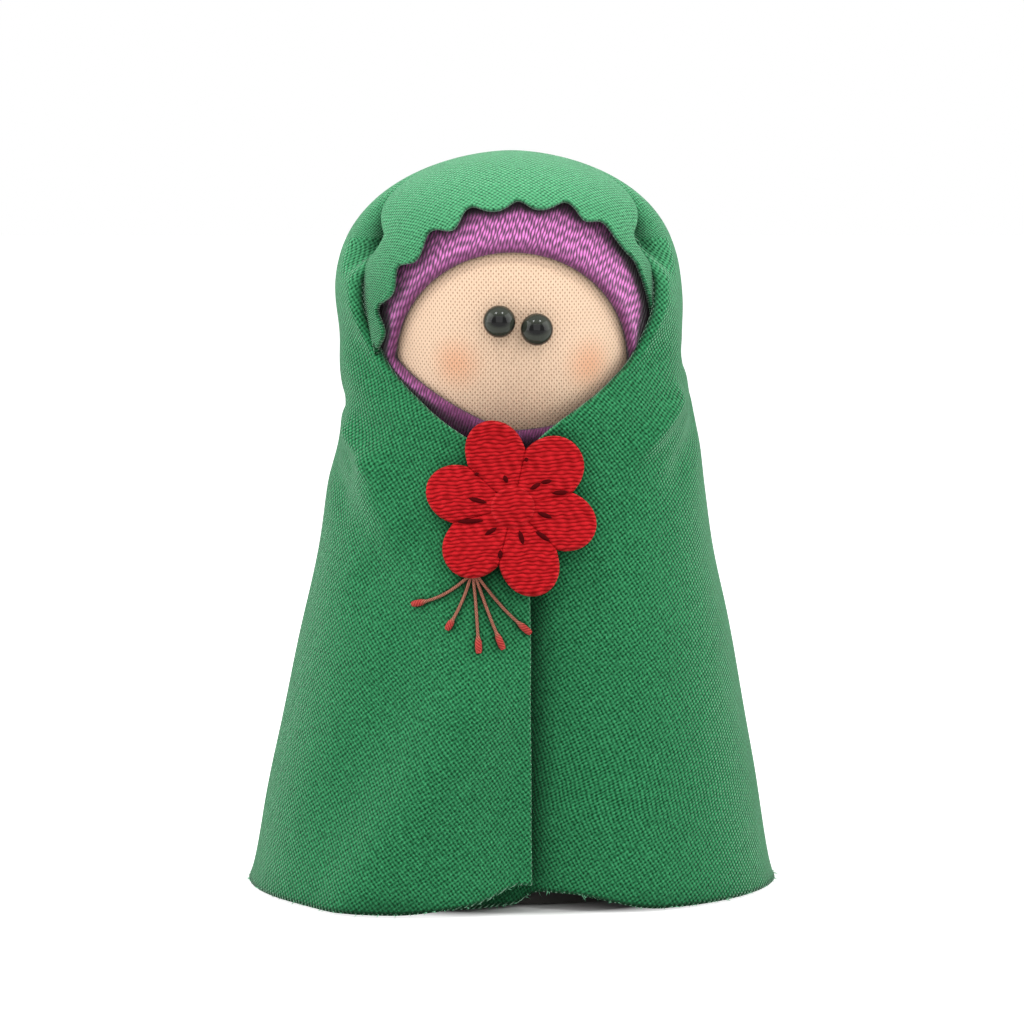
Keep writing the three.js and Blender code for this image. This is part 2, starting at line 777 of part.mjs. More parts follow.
function makeTail(tail, index) {
  const out = gap + tailTipDiameter / 2;
  const middle = (tails.length - 1) / 2;
  const rootAcross = -4.2 + tailRootSpacing * (index - middle);
  const rootZ = flowerHeight - petalReach + 1;
  const tipZ = flowerHeight - tail.drop;
  const path = [];
  for (let i = 0; i <= 3; i += 1) {
    const share = i / 3;
    const bow = 0.7 * Math.sin(Math.PI * share);
    const across = rootAcross + (tail.across - rootAcross) * share;
    path.push(onVeil(across, rootZ + (tipZ - rootZ) * share - bow, out));
  }
  const ring = new THREE.Shape();
  ring.absarc(0, 0, tailThread / 2, 0, 2 * Math.PI, false);
  const extrudePath = new THREE.CatmullRomCurve3(path);
  const options = { steps: 6, curveSegments: 3, bevelEnabled: false, extrudePath };
  const thread = weld(new THREE.ExtrudeGeometry(ring, options));
  const tip = weld(new THREE.SphereGeometry(tailTipDiameter / 2, 8, 6));
  tip.scale(1, tailTipLength / tailTipDiameter, 1);
  const along = path[3].clone().sub(path[2]).normalize();
  tip.applyQuaternion(new THREE.Quaternion().setFromUnitVectors(new THREE.Vector3(0, 1, 0), along));
  const end = path[3];
  tip.translate(end.x, end.y, end.z);
  return piece("thread_tail_" + (index + 1), join(thread, tip), cloth("red_thread", 0xd0313a, 0.55));
}

const doll = new THREE.Group();
doll.name = "rag_doll";
doll.add(makeBaseDisc(), makeTorsoCover(), makeTorsoFilling());
doll.add(makeNeckGather(), makeNeckBinding());
doll.add(makeHeadSkin(), makeHeadFilling(), ...makeEyes(), makeUnderScarf());
doll.add(makeVeil(), makeFlower(), ...tails.map(makeTail));

export default doll;
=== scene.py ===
# A small standing rag doll in a purple scarf and a green veil, with a red thread flower sewn on.
# Lengths are in millimetres until a mesh is made; the frame and every Blender object are in metres.
import json
import math

import bmesh
import bpy
import numpy as np
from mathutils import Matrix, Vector


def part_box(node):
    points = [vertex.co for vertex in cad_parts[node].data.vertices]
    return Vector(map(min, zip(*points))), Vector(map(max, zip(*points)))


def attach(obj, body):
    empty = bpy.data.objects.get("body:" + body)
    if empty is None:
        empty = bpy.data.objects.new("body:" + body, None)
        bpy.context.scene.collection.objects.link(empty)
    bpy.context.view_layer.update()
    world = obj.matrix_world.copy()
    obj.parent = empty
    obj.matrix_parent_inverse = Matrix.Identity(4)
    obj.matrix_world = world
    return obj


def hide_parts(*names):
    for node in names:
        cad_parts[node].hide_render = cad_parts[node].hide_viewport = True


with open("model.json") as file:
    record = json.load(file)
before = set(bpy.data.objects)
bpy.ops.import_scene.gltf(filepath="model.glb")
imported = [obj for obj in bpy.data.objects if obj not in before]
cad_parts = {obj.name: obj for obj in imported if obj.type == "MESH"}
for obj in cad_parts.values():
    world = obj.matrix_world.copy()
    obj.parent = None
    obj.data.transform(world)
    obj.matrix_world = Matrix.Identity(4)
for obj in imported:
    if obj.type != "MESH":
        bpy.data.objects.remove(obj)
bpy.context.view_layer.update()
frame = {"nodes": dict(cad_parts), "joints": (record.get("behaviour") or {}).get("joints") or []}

MM = 0.001


# Base disc: stiff card, cut oval. It closes the foot of the stuffed body, glued inside its lower
# edge, and is what the doll stands on.
def shader_node(tree, kind, values=None, **settings):
    made = tree.nodes.new(kind)
    for name, value in settings.items():
        setattr(made, name, value)
    for socket, value in (values or {}).items():
        if isinstance(value, bpy.types.NodeSocket):
            tree.links.new(value, made.inputs[socket])
        else:
            made.inputs[socket].default_value = value
    return made


def maths(tree, operation, first, second=0.0):
    return shader_node(tree, "ShaderNodeMath", {0: first, 1: second}, operation=operation).outputs[0]


def times_plus(tree, value, share, added):
    return maths(tree, "ADD", maths(tree, "MULTIPLY", value, share), added)


def shader_group(name, outputs, **inputs):
    """A shared effect, from plain numbers with a usual value each to plain numbers."""
    group = bpy.data.node_groups.new(name, "ShaderNodeTree")
    for socket, usual in inputs.items():
        made = group.interface.new_socket(socket, in_out="INPUT", socket_type="NodeSocketFloat")
        made.default_value = usual
    for socket in outputs:
        group.interface.new_socket(socket, in_out="OUTPUT", socket_type="NodeSocketFloat")
    return group, group.nodes.new("NodeGroupInput").outputs, group.nodes.new("NodeGroupOutput").inputs


def new_finish(name, roughness, sheen=0.0, specular=0.5):
    material = bpy.data.materials.new(name)
    material.use_nodes = True
    tree = material.node_tree
    shader = tree.nodes["Principled BSDF"]
    shader.inputs["Roughness"].default_value = roughness
    shader.inputs["Specular IOR Level"].default_value = specular
    shader.inputs["Sheen Weight"].default_value = sheen
    shader.inputs["Sheen Roughness"].default_value = 0.5
    return material, tree, shader


def mix_colour(tree, share, first, second):
    values = {0: share, 6: first, 7: second}
    return shader_node(tree, "ShaderNodeMix", values, data_type="RGBA").outputs[2]


def effect(tree, group, **values):
    """Puts a shared effect into a finish, with the values it has there."""
    return shader_node(tree, "ShaderNodeGroup", values, node_tree=group).outputs


def cover(tree, shader, colour, relief=None, depth=0.0):
    """Links a finish's colour and, where it has one, its relief of so many millimetres."""
    tree.links.new(colour, shader.inputs["Base Color"])
    if relief is not None:
        values = {"Height": relief, "Distance": depth * MM, "Strength": 1.0}
        tree.links.new(shader_node(tree, "ShaderNodeBump", values).outputs[0], shader.inputs["Normal"])


def noise(tree, vector, scale, detail):
    values = {"Vector": vector, "Scale": scale, "Detail": detail}
    return shader_node(tree, "ShaderNodeTexNoise", values).outputs


def object_place(tree):
    return shader_node(tree, "ShaderNodeTexCoord").outputs["Object"]


# Loose fibres and uneven dye, as a slow and a fast noise over the whole object
fibre_mottle, socket_in, socket_out = shader_group("fibre_mottle", ["Slow", "Fast"], Scale=400.0)
here = object_place(fibre_mottle)
for size, socket in ((0.25, "Slow"), (2.0, "Fast")):
    scale = maths(fibre_mottle, "MULTIPLY", socket_in["Scale"], size)
    fibre_mottle.links.new(noise(fibre_mottle, here, scale, 3.0)["Fac"], socket_out[socket])

# painted shade: the card is near black so that it reads as the shadow seen in the gap under the raised hem
card_finish, tree, shader = new_finish("card_painted_shade", 0.9)
mottle = effect(tree, fibre_mottle, Scale=900.0)
card_colour = mix_colour(tree, mottle["Slow"], (0.006, 0.006, 0.005, 1), (0.016, 0.014, 0.012, 1))
cover(tree, shader, card_colour, mottle["Fast"], 0.05)

base_disc = frame["nodes"]["base_disc"]
base_disc.material_slots[0].link = "OBJECT"
base_disc.material_slots[0].material = card_finish


# Torso: a cone of purple dress cloth, sewn up and stuffed firm. Its top is hollowed to seat the
# head, and the gathered neck goes down through the middle of that seat.
def new_object(name, data):
    made = bpy.data.objects.new(name, data)
    bpy.context.collection.objects.link(made)
    return made


def make_piece(name, points, faces, finish, place=None):
    """place gives each face corner its spot on the flat cloth, in millimetres, for the weave."""
    mesh = bpy.data.meshes.new(name)
    mesh.from_pydata((np.reshape(points, (-1, 3)) * MM).tolist(), [], faces)
    if place is not None:
        layer = mesh.uv_layers.new(name="place")
        layer.data.foreach_set("uv", np.asarray(place, dtype=np.float32).ravel())
    mesh.polygons.foreach_set("use_smooth", np.ones(len(mesh.polygons), dtype=bool))
    mesh.materials.append(finish)
    return new_object(name, mesh)


def stacked(*parts):
    return np.stack(np.broadcast_arrays(*parts), axis=-1)


def grid_faces(rows, columns, first=0, closed=False):
    """Faces over a grid of points, and for each face corner its row and column."""
    r, c = np.meshgrid(np.arange(rows - 1), np.arange(columns if closed else columns - 1), indexing="ij")
    corner_rows = stacked(r, r + 1, r + 1, r).reshape(-1, 4)
    corner_columns = stacked(c, c, c + 1, c + 1).reshape(-1, 4)
    faces = first + corner_rows * columns + corner_columns % columns
    return faces, corner_rows, corner_columns


def full_turn(steps):
    return np.linspace(0, 2 * np.pi, steps, endpoint=False)


def turned_piece(name, radii, heights, finish, steps, oval=None, wobble=None):
    """A form turned about the upright axis from a profile that runs from its foot to its top."""
    radii = np.asarray(radii, dtype=float)
    heights = np.asarray(heights, dtype=float)
    turn = full_turn(steps)
    reach = radii[:, None]
    if wobble is not None:
        reach = reach * (1 + wobble(turn[None, :], heights[:, None]))
    depth = np.ones_like(heights) if oval is None else oval(heights)
    points = stacked(reach * np.cos(turn), reach * np.sin(turn) * depth[:, None], heights[:, None])
    faces, corner_rows, corner_columns = grid_faces(len(radii), steps, closed=True)
    length = np.concatenate([[0], np.cumsum(np.hypot(np.diff(radii), np.diff(heights)))])
    around = np.mean(radii) * corner_columns * (2 * np.pi / steps)
    place = stacked(around, length[corner_rows])
    return make_piece(name, points, faces[:, ::-1].tolist(), finish, place[:, ::-1])


def smooth_step(value, low, high):
    """0 up to low, 1 from high on, and a soft rise between."""
    share = np.clip((value - low) / (high - low), 0, 1)
    return share * share * (3 - 2 * share)


def fade(value, low, high):
    """1 up to low, 0 from high on, and a soft fall between."""
    return 1 - smooth_step(value, low, high)


def bell(offset, width):
    """1 in the middle, falling off softly on both sides."""
    return np.exp(-((offset / width) ** 2))


def in_mm(box):
    return (np.array(corner) / MM for corner in box)


def vector_maths(tree, operation, first, second=(0, 0, 0)):
    """second is a plain number for SCALE; LENGTH and DISTANCE give a plain number."""
    values = {0: first, 3 if operation == "SCALE" else 1: second}
    made = shader_node(tree, "ShaderNodeVectorMath", values, operation=operation).outputs
    return made["Value" if operation in ("LENGTH", "DISTANCE") else "Vector"]


def strayed_place(group, scale, detail, amount):
    """The spot on the flat cloth, pushed about a little so that no yarn runs quite straight."""
    place = shader_node(group, "ShaderNodeUVMap", uv_map="place").outputs[0]
    stray = vector_maths(group, "SCALE", noise(group, place, scale, detail)["Color"], amount)
    return vector_maths(group, "ADD", place, stray)


def turned_place(group, place, angle):
    values = {"Vector": place, "Angle": angle}
    return shader_node(group, "ShaderNodeVectorRotate", values, rotation_type="Z_AXIS").outputs[0]


def split_axes(tree, vector):
    return shader_node(tree, "ShaderNodeSeparateXYZ", {0: vector}).outputs


# Plain weave: yarns that pass over and under each other at an even pitch
plain_weave, socket_in, socket_out = shader_group(
    "plain_weave", ["Height", "Yarn"], Pitch=0.8, Turn=0.5, Wander=0.15
)
strayed = strayed_place(plain_weave, 0.45, 2.0, socket_in["Wander"])
turned = turned_place(plain_weave, strayed, socket_in["Turn"])
waves = maths(plain_weave, "DIVIDE", 2 * math.pi, socket_in["Pitch"])
phase = vector_maths(plain_weave, "SCALE", turned, waves)
split = split_axes(plain_weave, phase)
crossing = maths(plain_weave, "MULTIPLY", *(maths(plain_weave, "SINE", split[axis]) for axis in "XY"))
plain_weave.links.new(times_plus(plain_weave, crossing, 0.5, 0.5), socket_out["Height"])
plain_weave.links.new(noise(plain_weave, turned, 3.6, 1.0)["Fac"], socket_out["Yarn"])

dress_finish, tree, shader = new_finish("purple_dress_cloth", 0.9, 0.2)
weave = effect(tree, plain_weave, Pitch=0.9)
dress_colour = mix_colour(tree, weave["Height"], (0.07, 0.016, 0.06, 1), (0.22, 0.06, 0.19, 1))
cover(tree, shader, dress_colour, weave["Height"], 0.15)

torso_low, torso_high = in_mm(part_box("torso_cover"))
torso_half_width = torso_high[0]
torso_depth_share = torso_high[1] / torso_high[0]
shoulder_radius, seat_radius, neck_hole_radius, neck_hole_depth = 16.0, 9.4, 6.4, 10
shoulder_z = torso_low[2] + 0.84 * (torso_high[2] - torso_low[2])
foot_radii = [0.5, torso_half_width * 0.6, torso_half_width - 0.5]
foot_heights = [torso_low[2] + 0.1] * 3
rise = np.linspace(0, 1, 28)
cone_radii = torso_half_width + (shoulder_radius - torso_half_width) * rise + 1.5 * np.sin(np.pi * rise)
cone_heights = torso_low[2] + (shoulder_z - torso_low[2]) * rise
side_radii = [*cone_radii, shoulder_radius, 15.5, 12.4]
side_heights = [*cone_heights, shoulder_z + 2.4, shoulder_z + 4.6, torso_high[2] - 1.9]
seat_radii = [10.6, seat_radius, 8.4, 7.4, neck_hole_radius, neck_hole_radius, 0.5]
seat_drops = (0.35, 0.2, 0.65, 1.15, 1.55, neck_hole_depth, neck_hole_depth)
seat_heights = [torso_high[2] - drop for drop in seat_drops]
torso_radii = foot_radii + side_radii + seat_radii
torso_heights = foot_heights + side_heights + seat_heights


def torso_oval(heights):
    middle = (torso_low[2] + shoulder_z) / 2
    return torso_depth_share + (1 - torso_depth_share) * smooth_step(heights, middle, shoulder_z)


def torso_puckers(turn, heights):
    near_foot = bell(heights - torso_low[2], 5)
    return 0.006 * near_foot * np.cos(22 * turn)


torso = turned_piece("torso_cone", torso_radii, torso_heights, dress_finish, 120, torso_oval, torso_puckers)
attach(torso, "torso")
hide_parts("torso_cover", "torso_filling")


# Neck: the loose end of the head's jersey, gathered into pleats below the head, bound tight with
# wound thread and spread out again in a tuft under the binding.
jersey_knit, socket_in, socket_out = shader_group("jersey_knit", ["Height", "Hole"], Wale=0.31, Course=0.36)
strayed = strayed_place(jersey_knit, 0.5, 2.0, 0.22)
split = split_axes(jersey_knit, strayed)
loops = []
for axis, pitch in (("X", "Wale"), ("Y", "Course")):
    count = maths(jersey_knit, "DIVIDE", split[axis], socket_in[pitch])
    loops.append(maths(jersey_knit, "COSINE", maths(jersey_knit, "MULTIPLY", count, math.pi)))
stitch = maths(jersey_knit, "MULTIPLY", *loops)
hole = maths(jersey_knit, "POWER", maths(jersey_knit, "MAXIMUM", stitch, 0.0), 1.6)
furrow = maths(jersey_knit, "POWER", maths(jersey_knit, "ABSOLUTE", loops[0]), 5.0)
sunk = times_plus(jersey_knit, furrow, 0.18, maths(jersey_knit, "MULTIPLY", hole, 0.9))
jersey_knit.links.new(maths(jersey_knit, "SUBTRACT", 1.0, sunk), socket_out["Height"])
jersey_knit.links.new(sunk, socket_out["Hole"])

skin_shade = (0.46, 0.26, 0.15, 1)
neck_finish, tree, shader = new_finish("gathered_jersey", 0.95, 0.2)
knit = effect(tree, jersey_knit)
neck_colour = mix_colour(tree, knit["Hole"], (0.86, 0.66, 0.49, 1), skin_shade)
cover(tree, shader, neck_colour, knit["Height"], 0.12)

gather_low, gather_high = in_mm(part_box("neck_gather"))
neck_radius, tuft_radius = 3.5, gather_high[0] - 0.1
pleat_count = 13
tuft_radii = [0.2, tuft_radius * 0.8, tuft_radius, tuft_radius * 0.9, 4.0]
gather_radii = tuft_radii + [neck_radius, neck_radius, 3.6, 4.0, 2.5, 0.2]
gather_heights = gather_low[2] + np.array([0, 0, 1, 2.2, 3, 3.6, 8, 8.8, 9.25, 9.05, 8.95])


def gather_pleats(turn, heights):
    return 0.05 * np.cos(pleat_count * turn) + 0.02 * np.cos((2 * pleat_count + 1) * turn)


neck_gather = turned_piece("neck_pleats", gather_radii, gather_heights, neck_finish, 156, None, gather_pleats)
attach(neck_gather, "neck")
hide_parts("neck_gather")


def map_range(tree, value, low, high, to_low=0.0, to_high=1.0, way="LINEAR"):
    values = {"Value": value, "From Min": low, "From Max": high, "To Min": to_low, "To Max": to_high}
    return shader_node(tree, "ShaderNodeMapRange", values, interpolation_type=way).outputs[0]


# Laid threads: threads side by side, each with its own tone and a fine twist
laid_threads, socket_in, socket_out = shader_group(
    "laid_threads", ["Height", "Tone"], Pitch=0.6, Turn=0.0, Wander=0.3, Twist=0.5
)
strayed = strayed_place(laid_threads, 0.4, 3.0, socket_in["Wander"])
turned = turned_place(laid_threads, strayed, socket_in["Turn"])
split = split_axes(laid_threads, turned)
across = maths(laid_threads, "DIVIDE", split["X"], socket_in["Pitch"])
crest = maths(laid_threads, "SINE", maths(laid_threads, "MULTIPLY", across, math.pi))
crest = maths(laid_threads, "ABSOLUTE", crest)
count = maths(laid_threads, "FLOOR", across)
each_thread = shader_node(laid_threads, "ShaderNodeTexWhiteNoise", {"W": count}, noise_dimensions="1D")
each_thread = each_thread.outputs["Value"]
drawn_out = vector_maths(laid_threads, "MULTIPLY", turned, (1.0, 0.35, 1.0))
broken = map_range(laid_threads, noise(laid_threads, drawn_out, 2.3, 2.0)["Fac"], 0.32, 0.66)
tone = times_plus(laid_threads, broken, 0.7, maths(laid_threads, "MULTIPLY", each_thread, 0.3))
laid_threads.links.new(tone, socket_out["Tone"])
slant = times_plus(laid_threads, each_thread, 20.0, maths(laid_threads, "MULTIPLY", split["Y"], 4.6))
twist = maths(laid_threads, "MULTIPLY", socket_in["Twist"], 0.25)
ply = maths(laid_threads, "MULTIPLY", maths(laid_threads, "SINE", slant), twist)
laid_threads.links.new(maths(laid_threads, "ADD", crest, ply), socket_out["Height"])


def unit(vectors):
    return vectors / np.linalg.norm(vectors, axis=-1, keepdims=True)


def run_along(route):
    """The length of a route up to each of its points."""
    return np.concatenate([[0], np.cumsum(np.linalg.norm(np.diff(route, axis=0), axis=1))])


def spokes(along, up, sides):
    """The spokes of a round section square to a line; up settles where the first one points."""
    side = unit(np.cross(along, np.asarray(up, dtype=float)))
    top = np.cross(side, along)
    turn = full_turn(sides)[:, None]
    return side[..., None, :] * np.cos(turn) + top[..., None, :] * np.sin(turn)


def tube_piece(name, route, radii, finish, sides=10, up=(0, 0, 1)):
    """A round thread along a route, with a radius at each point and closed ends."""
    radii = np.broadcast_to(np.asarray(radii, dtype=float), len(route))
    ring = spokes(unit(np.gradient(route, axis=0)), up, sides)
    points = (route[:, None] + ring * radii[:, None, None]).reshape(-1, 3)
    faces, corner_rows, corner_columns = grid_faces(len(route), sides, closed=True)
    place = stacked(corner_columns * (2.4 / sides), run_along(route)[corner_rows])
    piece_faces = faces[:, ::-1].tolist()
    places = place[:, ::-1].reshape(-1, 2).tolist()
    for ends in (range(sides), range(len(points) - 1, len(points) - sides - 1, -1)):
        piece_faces.append(list(ends))
        places += [[0.0, 0.0]] * sides
    return make_piece(name, points, piece_faces, finish, places)


binding_finish, tree, shader = new_finish("cream_binding_thread", 0.7, 0.2)
threads = effect(tree, laid_threads, Turn=0.7)
binding_colour = mix_colour(tree, threads["Height"], (0.5, 0.42, 0.32, 1), (0.85, 0.78, 0.66, 1))
cover(tree, shader, binding_colour, threads["Height"], 0.08)

binding_low, binding_high = in_mm(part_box("neck_binding"))
binding_turns, binding_thread, binding_margin = 3, 0.68, 0.35
binding_turn = np.linspace(0, 2 * np.pi * binding_turns, 48 * binding_turns + 1)
binding_radius = binding_high[0] - binding_thread / 2
binding_foot, binding_top = binding_low[2] + binding_margin, binding_high[2] - binding_margin
binding_climb = np.linspace(binding_foot, binding_top, len(binding_turn))
binding_route = stacked(
    binding_radius * np.cos(binding_turn), binding_radius * np.sin(binding_turn), binding_climb
)
neck_binding = tube_piece("neck_thread", binding_route, binding_thread / 2, binding_finish)
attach(neck_binding, "neck")
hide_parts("neck_binding")


# Head: pale fine jersey drawn tight over a stuffed ball. The bead shanks pull a shallow dimple at
# each eye, and two soft spots of powder blush mark the cheeks.
head_z = frame["joints"][0]["pos_m"][2] / MM
_, skin_high = in_mm(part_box("head_skin"))
head_radius, bead_radius = 17.0, 2.0
head_half = skin_high[2] - head_z
head_middle = np.array([0, 0, head_z])
head_sizes = np.array([head_radius, head_radius, head_half])
cheek_power, dimple_depth, dimple_radius = 2.4, 0.55, 2.1
eye_centres = {}
for eye in ("left_eye", "right_eye"):
    eye_low, eye_high = in_mm(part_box(eye))
    middle = (eye_low + eye_high) / 2
    eye_centres[eye] = np.array([middle[0], eye_low[1] + bead_radius, middle[2]])


def cheek_fullness(way):
    """How much fuller than an oval the ball is stuffed, below the middle of the face."""
    below = np.clip(-way[..., 2], 0, 1)
    level = np.sqrt(1 - below**2)
    full = (level**cheek_power + below**cheek_power) ** (-1 / cheek_power) - 1
    return 1 + full * fade(below, 0.72, 0.92) * smooth_step(-way[..., 1], -0.2, 0.5)


head_rows, head_columns = 120, 180
tilt = np.linspace(-np.pi / 2, np.pi / 2, head_rows)[:, None]
turn = full_turn(head_columns)[None, :]
head_way = stacked(np.cos(tilt) * np.cos(turn), np.cos(tilt) * np.sin(turn), np.sin(tilt))
head_points = head_middle + head_way * head_sizes * cheek_fullness(head_way)[..., None]
outward = unit(head_points - head_middle)
for centre in eye_centres.values():
    eye_way = unit(centre - head_middle)
    away = np.linalg.norm(np.cross(outward, eye_way), axis=-1)
    dimple = dimple_depth * bell(away * head_radius, dimple_radius) * (outward @ eye_way > 0)
    head_points = head_points - outward * dimple[..., None]
faces, corner_rows, corner_columns = grid_faces(head_rows, head_columns, closed=True)
flat_across = head_radius * np.arcsin(np.clip(head_way[..., 0], -1, 1))
flat_up = head_half * np.arcsin(np.clip(head_way[..., 2], -1, 1))
head_place = stacked(flat_across, flat_up)[corner_rows, corner_columns % head_columns]

face_finish, tree, shader = new_finish("pale_jersey", 0.9, 0.1)
knit = effect(tree, jersey_knit)
mottle = effect(tree, fibre_mottle)
here = object_place(tree)
blush_spots, blush_radius = ((-6.9, -15.2, 67.7), (9.6, -13.8, 67.5)), 4.6
powder = []
for spot in blush_spots:
    from_spot = vector_maths(tree, "DISTANCE", here, tuple(value * MM for value in spot))
    powder.append(map_range(tree, from_spot, 0.0, blush_radius * MM, 0.75, 0.0, "SMOOTHSTEP"))
blush = maths(tree, "MAXIMUM", *powder)
plain_skin = mix_colour(tree, mottle["Slow"], (0.83, 0.58, 0.405, 1), (0.89, 0.66, 0.475, 1))
powdered = mix_colour(tree, blush, plain_skin, (0.83, 0.40, 0.22, 1))
face_colour = mix_colour(tree, maths(tree, "MULTIPLY", knit["Hole"], 0.95), powdered, skin_shade)
cover(tree, shader, face_colour, knit["Height"], 0.09)

head = make_piece("head_ball", head_points, faces.tolist(), face_finish, head_place)
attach(head, "head")
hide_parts("head_skin", "head_filling")


# Eyes: polished black beads, each on a thin shank. The shank is pushed through the jersey and caught
# in the stuffing, so that the bead sits in a small dimple.
bead_finish, tree, shader = new_finish("polished_black_bead", 0.06, specular=0.2)
mottle = effect(tree, fibre_mottle, Scale=1500.0)
here = object_place(tree)


def from_bead(half_width, half_height):
    """How far a spot is from the middle of the nearer bead, as a share of an oval's half sizes."""
    shares = (1 / MM / half_width, 0, 1 / MM / half_height)
    reaches = []
    for centre in eye_centres.values():
        from_middle = vector_maths(tree, "SUBTRACT", here, tuple((centre + [0, 0, 0.15]) * MM))
        reaches.append(vector_maths(tree, "LENGTH", vector_maths(tree, "MULTIPLY", from_middle, shares)))
    return maths(tree, "MINIMUM", *reaches)


# painted reflection: the black bead shows a grey-green ring of reflected surroundings, near black in a middle
# oval and at its edge
painted_dark_middle = map_range(tree, from_bead(1.25, 0.72), 0.75, 1.3)
limb = map_range(tree, from_bead(bead_radius, bead_radius), 0.99, 0.84)
painted_reflection_tone = mix_colour(tree, mottle["Slow"], (0.03, 0.035, 0.026, 1), (0.05, 0.056, 0.042, 1))
bead_colour = mix_colour(tree, maths(tree, "MULTIPLY", painted_dark_middle, limb), (0.002, 0.002, 0.002, 1), painted_reflection_tone)
cover(tree, shader, bead_colour)

bead_rows, bead_columns, shank_radius, shank_length = 40, 56, 0.45, 4.0
shank_angle = math.asin(shank_radius / bead_radius)
shank_along = [shank_length + bead_radius, shank_length + bead_radius, bead_radius + 0.3]
lathe_angle = np.linspace(shank_angle, np.pi - 0.004, bead_rows)
bead_reach = np.concatenate([[0.02, shank_radius, shank_radius], bead_radius * np.sin(lathe_angle)])
bead_along = np.concatenate([shank_along, bead_radius * np.cos(lathe_angle)])
for eye, centre in eye_centres.items():
    inward = unit(head_middle - centre)
    ring = spokes(inward, (0, 0, 1), bead_columns)
    points = centre + bead_along[:, None, None] * inward + bead_reach[:, None, None] * ring
    faces, _, _ = grid_faces(len(bead_reach), bead_columns, closed=True)
    bead = make_piece(eye + "_bead", points, faces.tolist(), bead_finish)
    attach(bead, "head")
    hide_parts(eye)


# Under scarf: purple ribbed crepe pulled over the whole head like a cap. The face opening is
# turned under into a soft roll, and it closes below the chin round the neck.
scarf_roll, scarf_thickness, scarf_lift = 0.75, 1.2, 0.1
face_half_width, face_up, face_down = 13.8, 12.8, 7.8
face_z = head_z - 4.0
scarf_neck_radius = 7.2
rim_steps, cap_steps, scarf_columns = 14, 80, 240
ring_turn = full_turn(scarf_columns)
cos_turn, sin_turn = np.cos(ring_turn), np.sin(ring_turn)
fullness = np.where((sin_turn < 0) & (cos_turn < 0), 1.22, 2.0)
edge_x = face_half_width * np.sign(cos_turn) * np.abs(cos_turn) ** (2 / fullness)
edge_z = np.where(sin_turn > 0, face_up, face_down) * np.sign(sin_turn) * np.abs(sin_turn) ** (2 / fullness)
edge_up = (face_z + edge_z - head_z) / head_half
edge_side = edge_x / head_radius
edge_front = -np.sqrt(np.clip(1 - edge_up**2 - edge_side**2, 0.0, 1))
edge_way = unit(stacked(edge_side, edge_front, edge_up))
back_way = np.array([0, 1.0, 0])
whole_angle = np.arccos(np.clip(edge_way @ back_way, -1, 1))[None, :]
rim_angle = np.linspace(-np.pi / 2, np.pi / 2, rim_steps)[:, None]
cap_share = np.linspace(0.04, 1, cap_steps)[:, None] ** 1.5
roll_angle = scarf_roll / head_radius
rim_walk = roll_angle * (1 - np.cos(rim_angle)) + 0 * whole_angle
cap_walk = roll_angle + cap_share * (whole_angle - roll_angle)
walk = np.minimum(np.concatenate([rim_walk, cap_walk]), whole_angle - 0.001)
from_roll = (cap_walk - roll_angle) * head_radius
rim_off = scarf_roll * (1 + np.sin(rim_angle)) + 0 * whole_angle
cap_off = scarf_thickness + (2 * scarf_roll - scarf_thickness) * bell(from_roll, 1.1)
scarf_thick = scarf_lift + np.concatenate([rim_off, cap_off])[..., None]
# painted shade: rim_shade darkens the underside of the roll, the fold beside it on the cap and the scarf below
# the face
on_roll = 1 - 0.4 * smooth_step(rim_angle, 0.2, 1.5) + 0 * rim_walk
rim_shade = np.concatenate([on_roll, 0.6 * fade(from_roll, 0.0, 0.7)])
weight_edge = np.sin(whole_angle - walk) / np.sin(whole_angle)
weight_back = np.sin(walk) / np.sin(whole_angle)
way = weight_edge[..., None] * edge_way[None] + weight_back[..., None] * back_way
scarf_points = head_middle + way * (head_sizes * cheek_fullness(way)[..., None] + scarf_thick)
below_face = fade(scarf_points[..., 2], face_z - 6.5, face_z - 1.5)
rim_shade = np.maximum(rim_shade, 1.2 * below_face)
faces, _, _ = grid_faces(rim_steps + cap_steps, scarf_columns, closed=True)
flat_points = scarf_points.reshape(-1, 3)
face_middle = flat_points[faces].mean(axis=1)
open_neck = (np.hypot(face_middle[:, 0], face_middle[:, 1]) < scarf_neck_radius) & (face_middle[:, 2] < head_z)
faces = faces[~open_neck]
scarf_place = flat_points[faces][:, :, [0, 2]]

# Contact shade: painted shade from an ambient-occlusion mask, how far a touching layer closes over a spot
contact_shade, socket_in, socket_out = shader_group(
    "contact_shade", ["Shade"], Reach=2.0 * MM, Full=0.5, Clear=0.78
)
opening = shader_node(contact_shade, "ShaderNodeAmbientOcclusion", {"Distance": socket_in["Reach"]}, samples=8)
shut = map_range(contact_shade, opening.outputs["AO"], socket_in["Full"], socket_in["Clear"], 0.96, 0.0)
contact_shade.links.new(shut, socket_out["Shade"])


def mark_points(piece, name, values):
    """Writes a share on each point of a piece, for its finish to read."""
    layer = piece.data.attributes.new(name, "FLOAT", "POINT")
    layer.data.foreach_set("value", values.ravel().astype(np.float32))


def marked_share(tree, name):
    return shader_node(tree, "ShaderNodeAttribute", attribute_name=name).outputs["Fac"]


scarf_finish, tree, shader = new_finish("purple_ribbed_crepe", 0.85, 0.2)
threads = effect(tree, laid_threads, Pitch=0.36, Turn=0.3, Wander=0.5, Twist=1.1)
contact = effect(tree, contact_shade)
rim = marked_share(tree, "rim")
rib_tone = times_plus(tree, threads["Tone"], 0.35, 0.65)
rib = maths(tree, "MULTIPLY", maths(tree, "POWER", threads["Height"], 1.7), rib_tone)
scarf_colour = mix_colour(tree, rib, (0.03, 0.003, 0.025, 1), (0.90, 0.245, 0.71, 1))
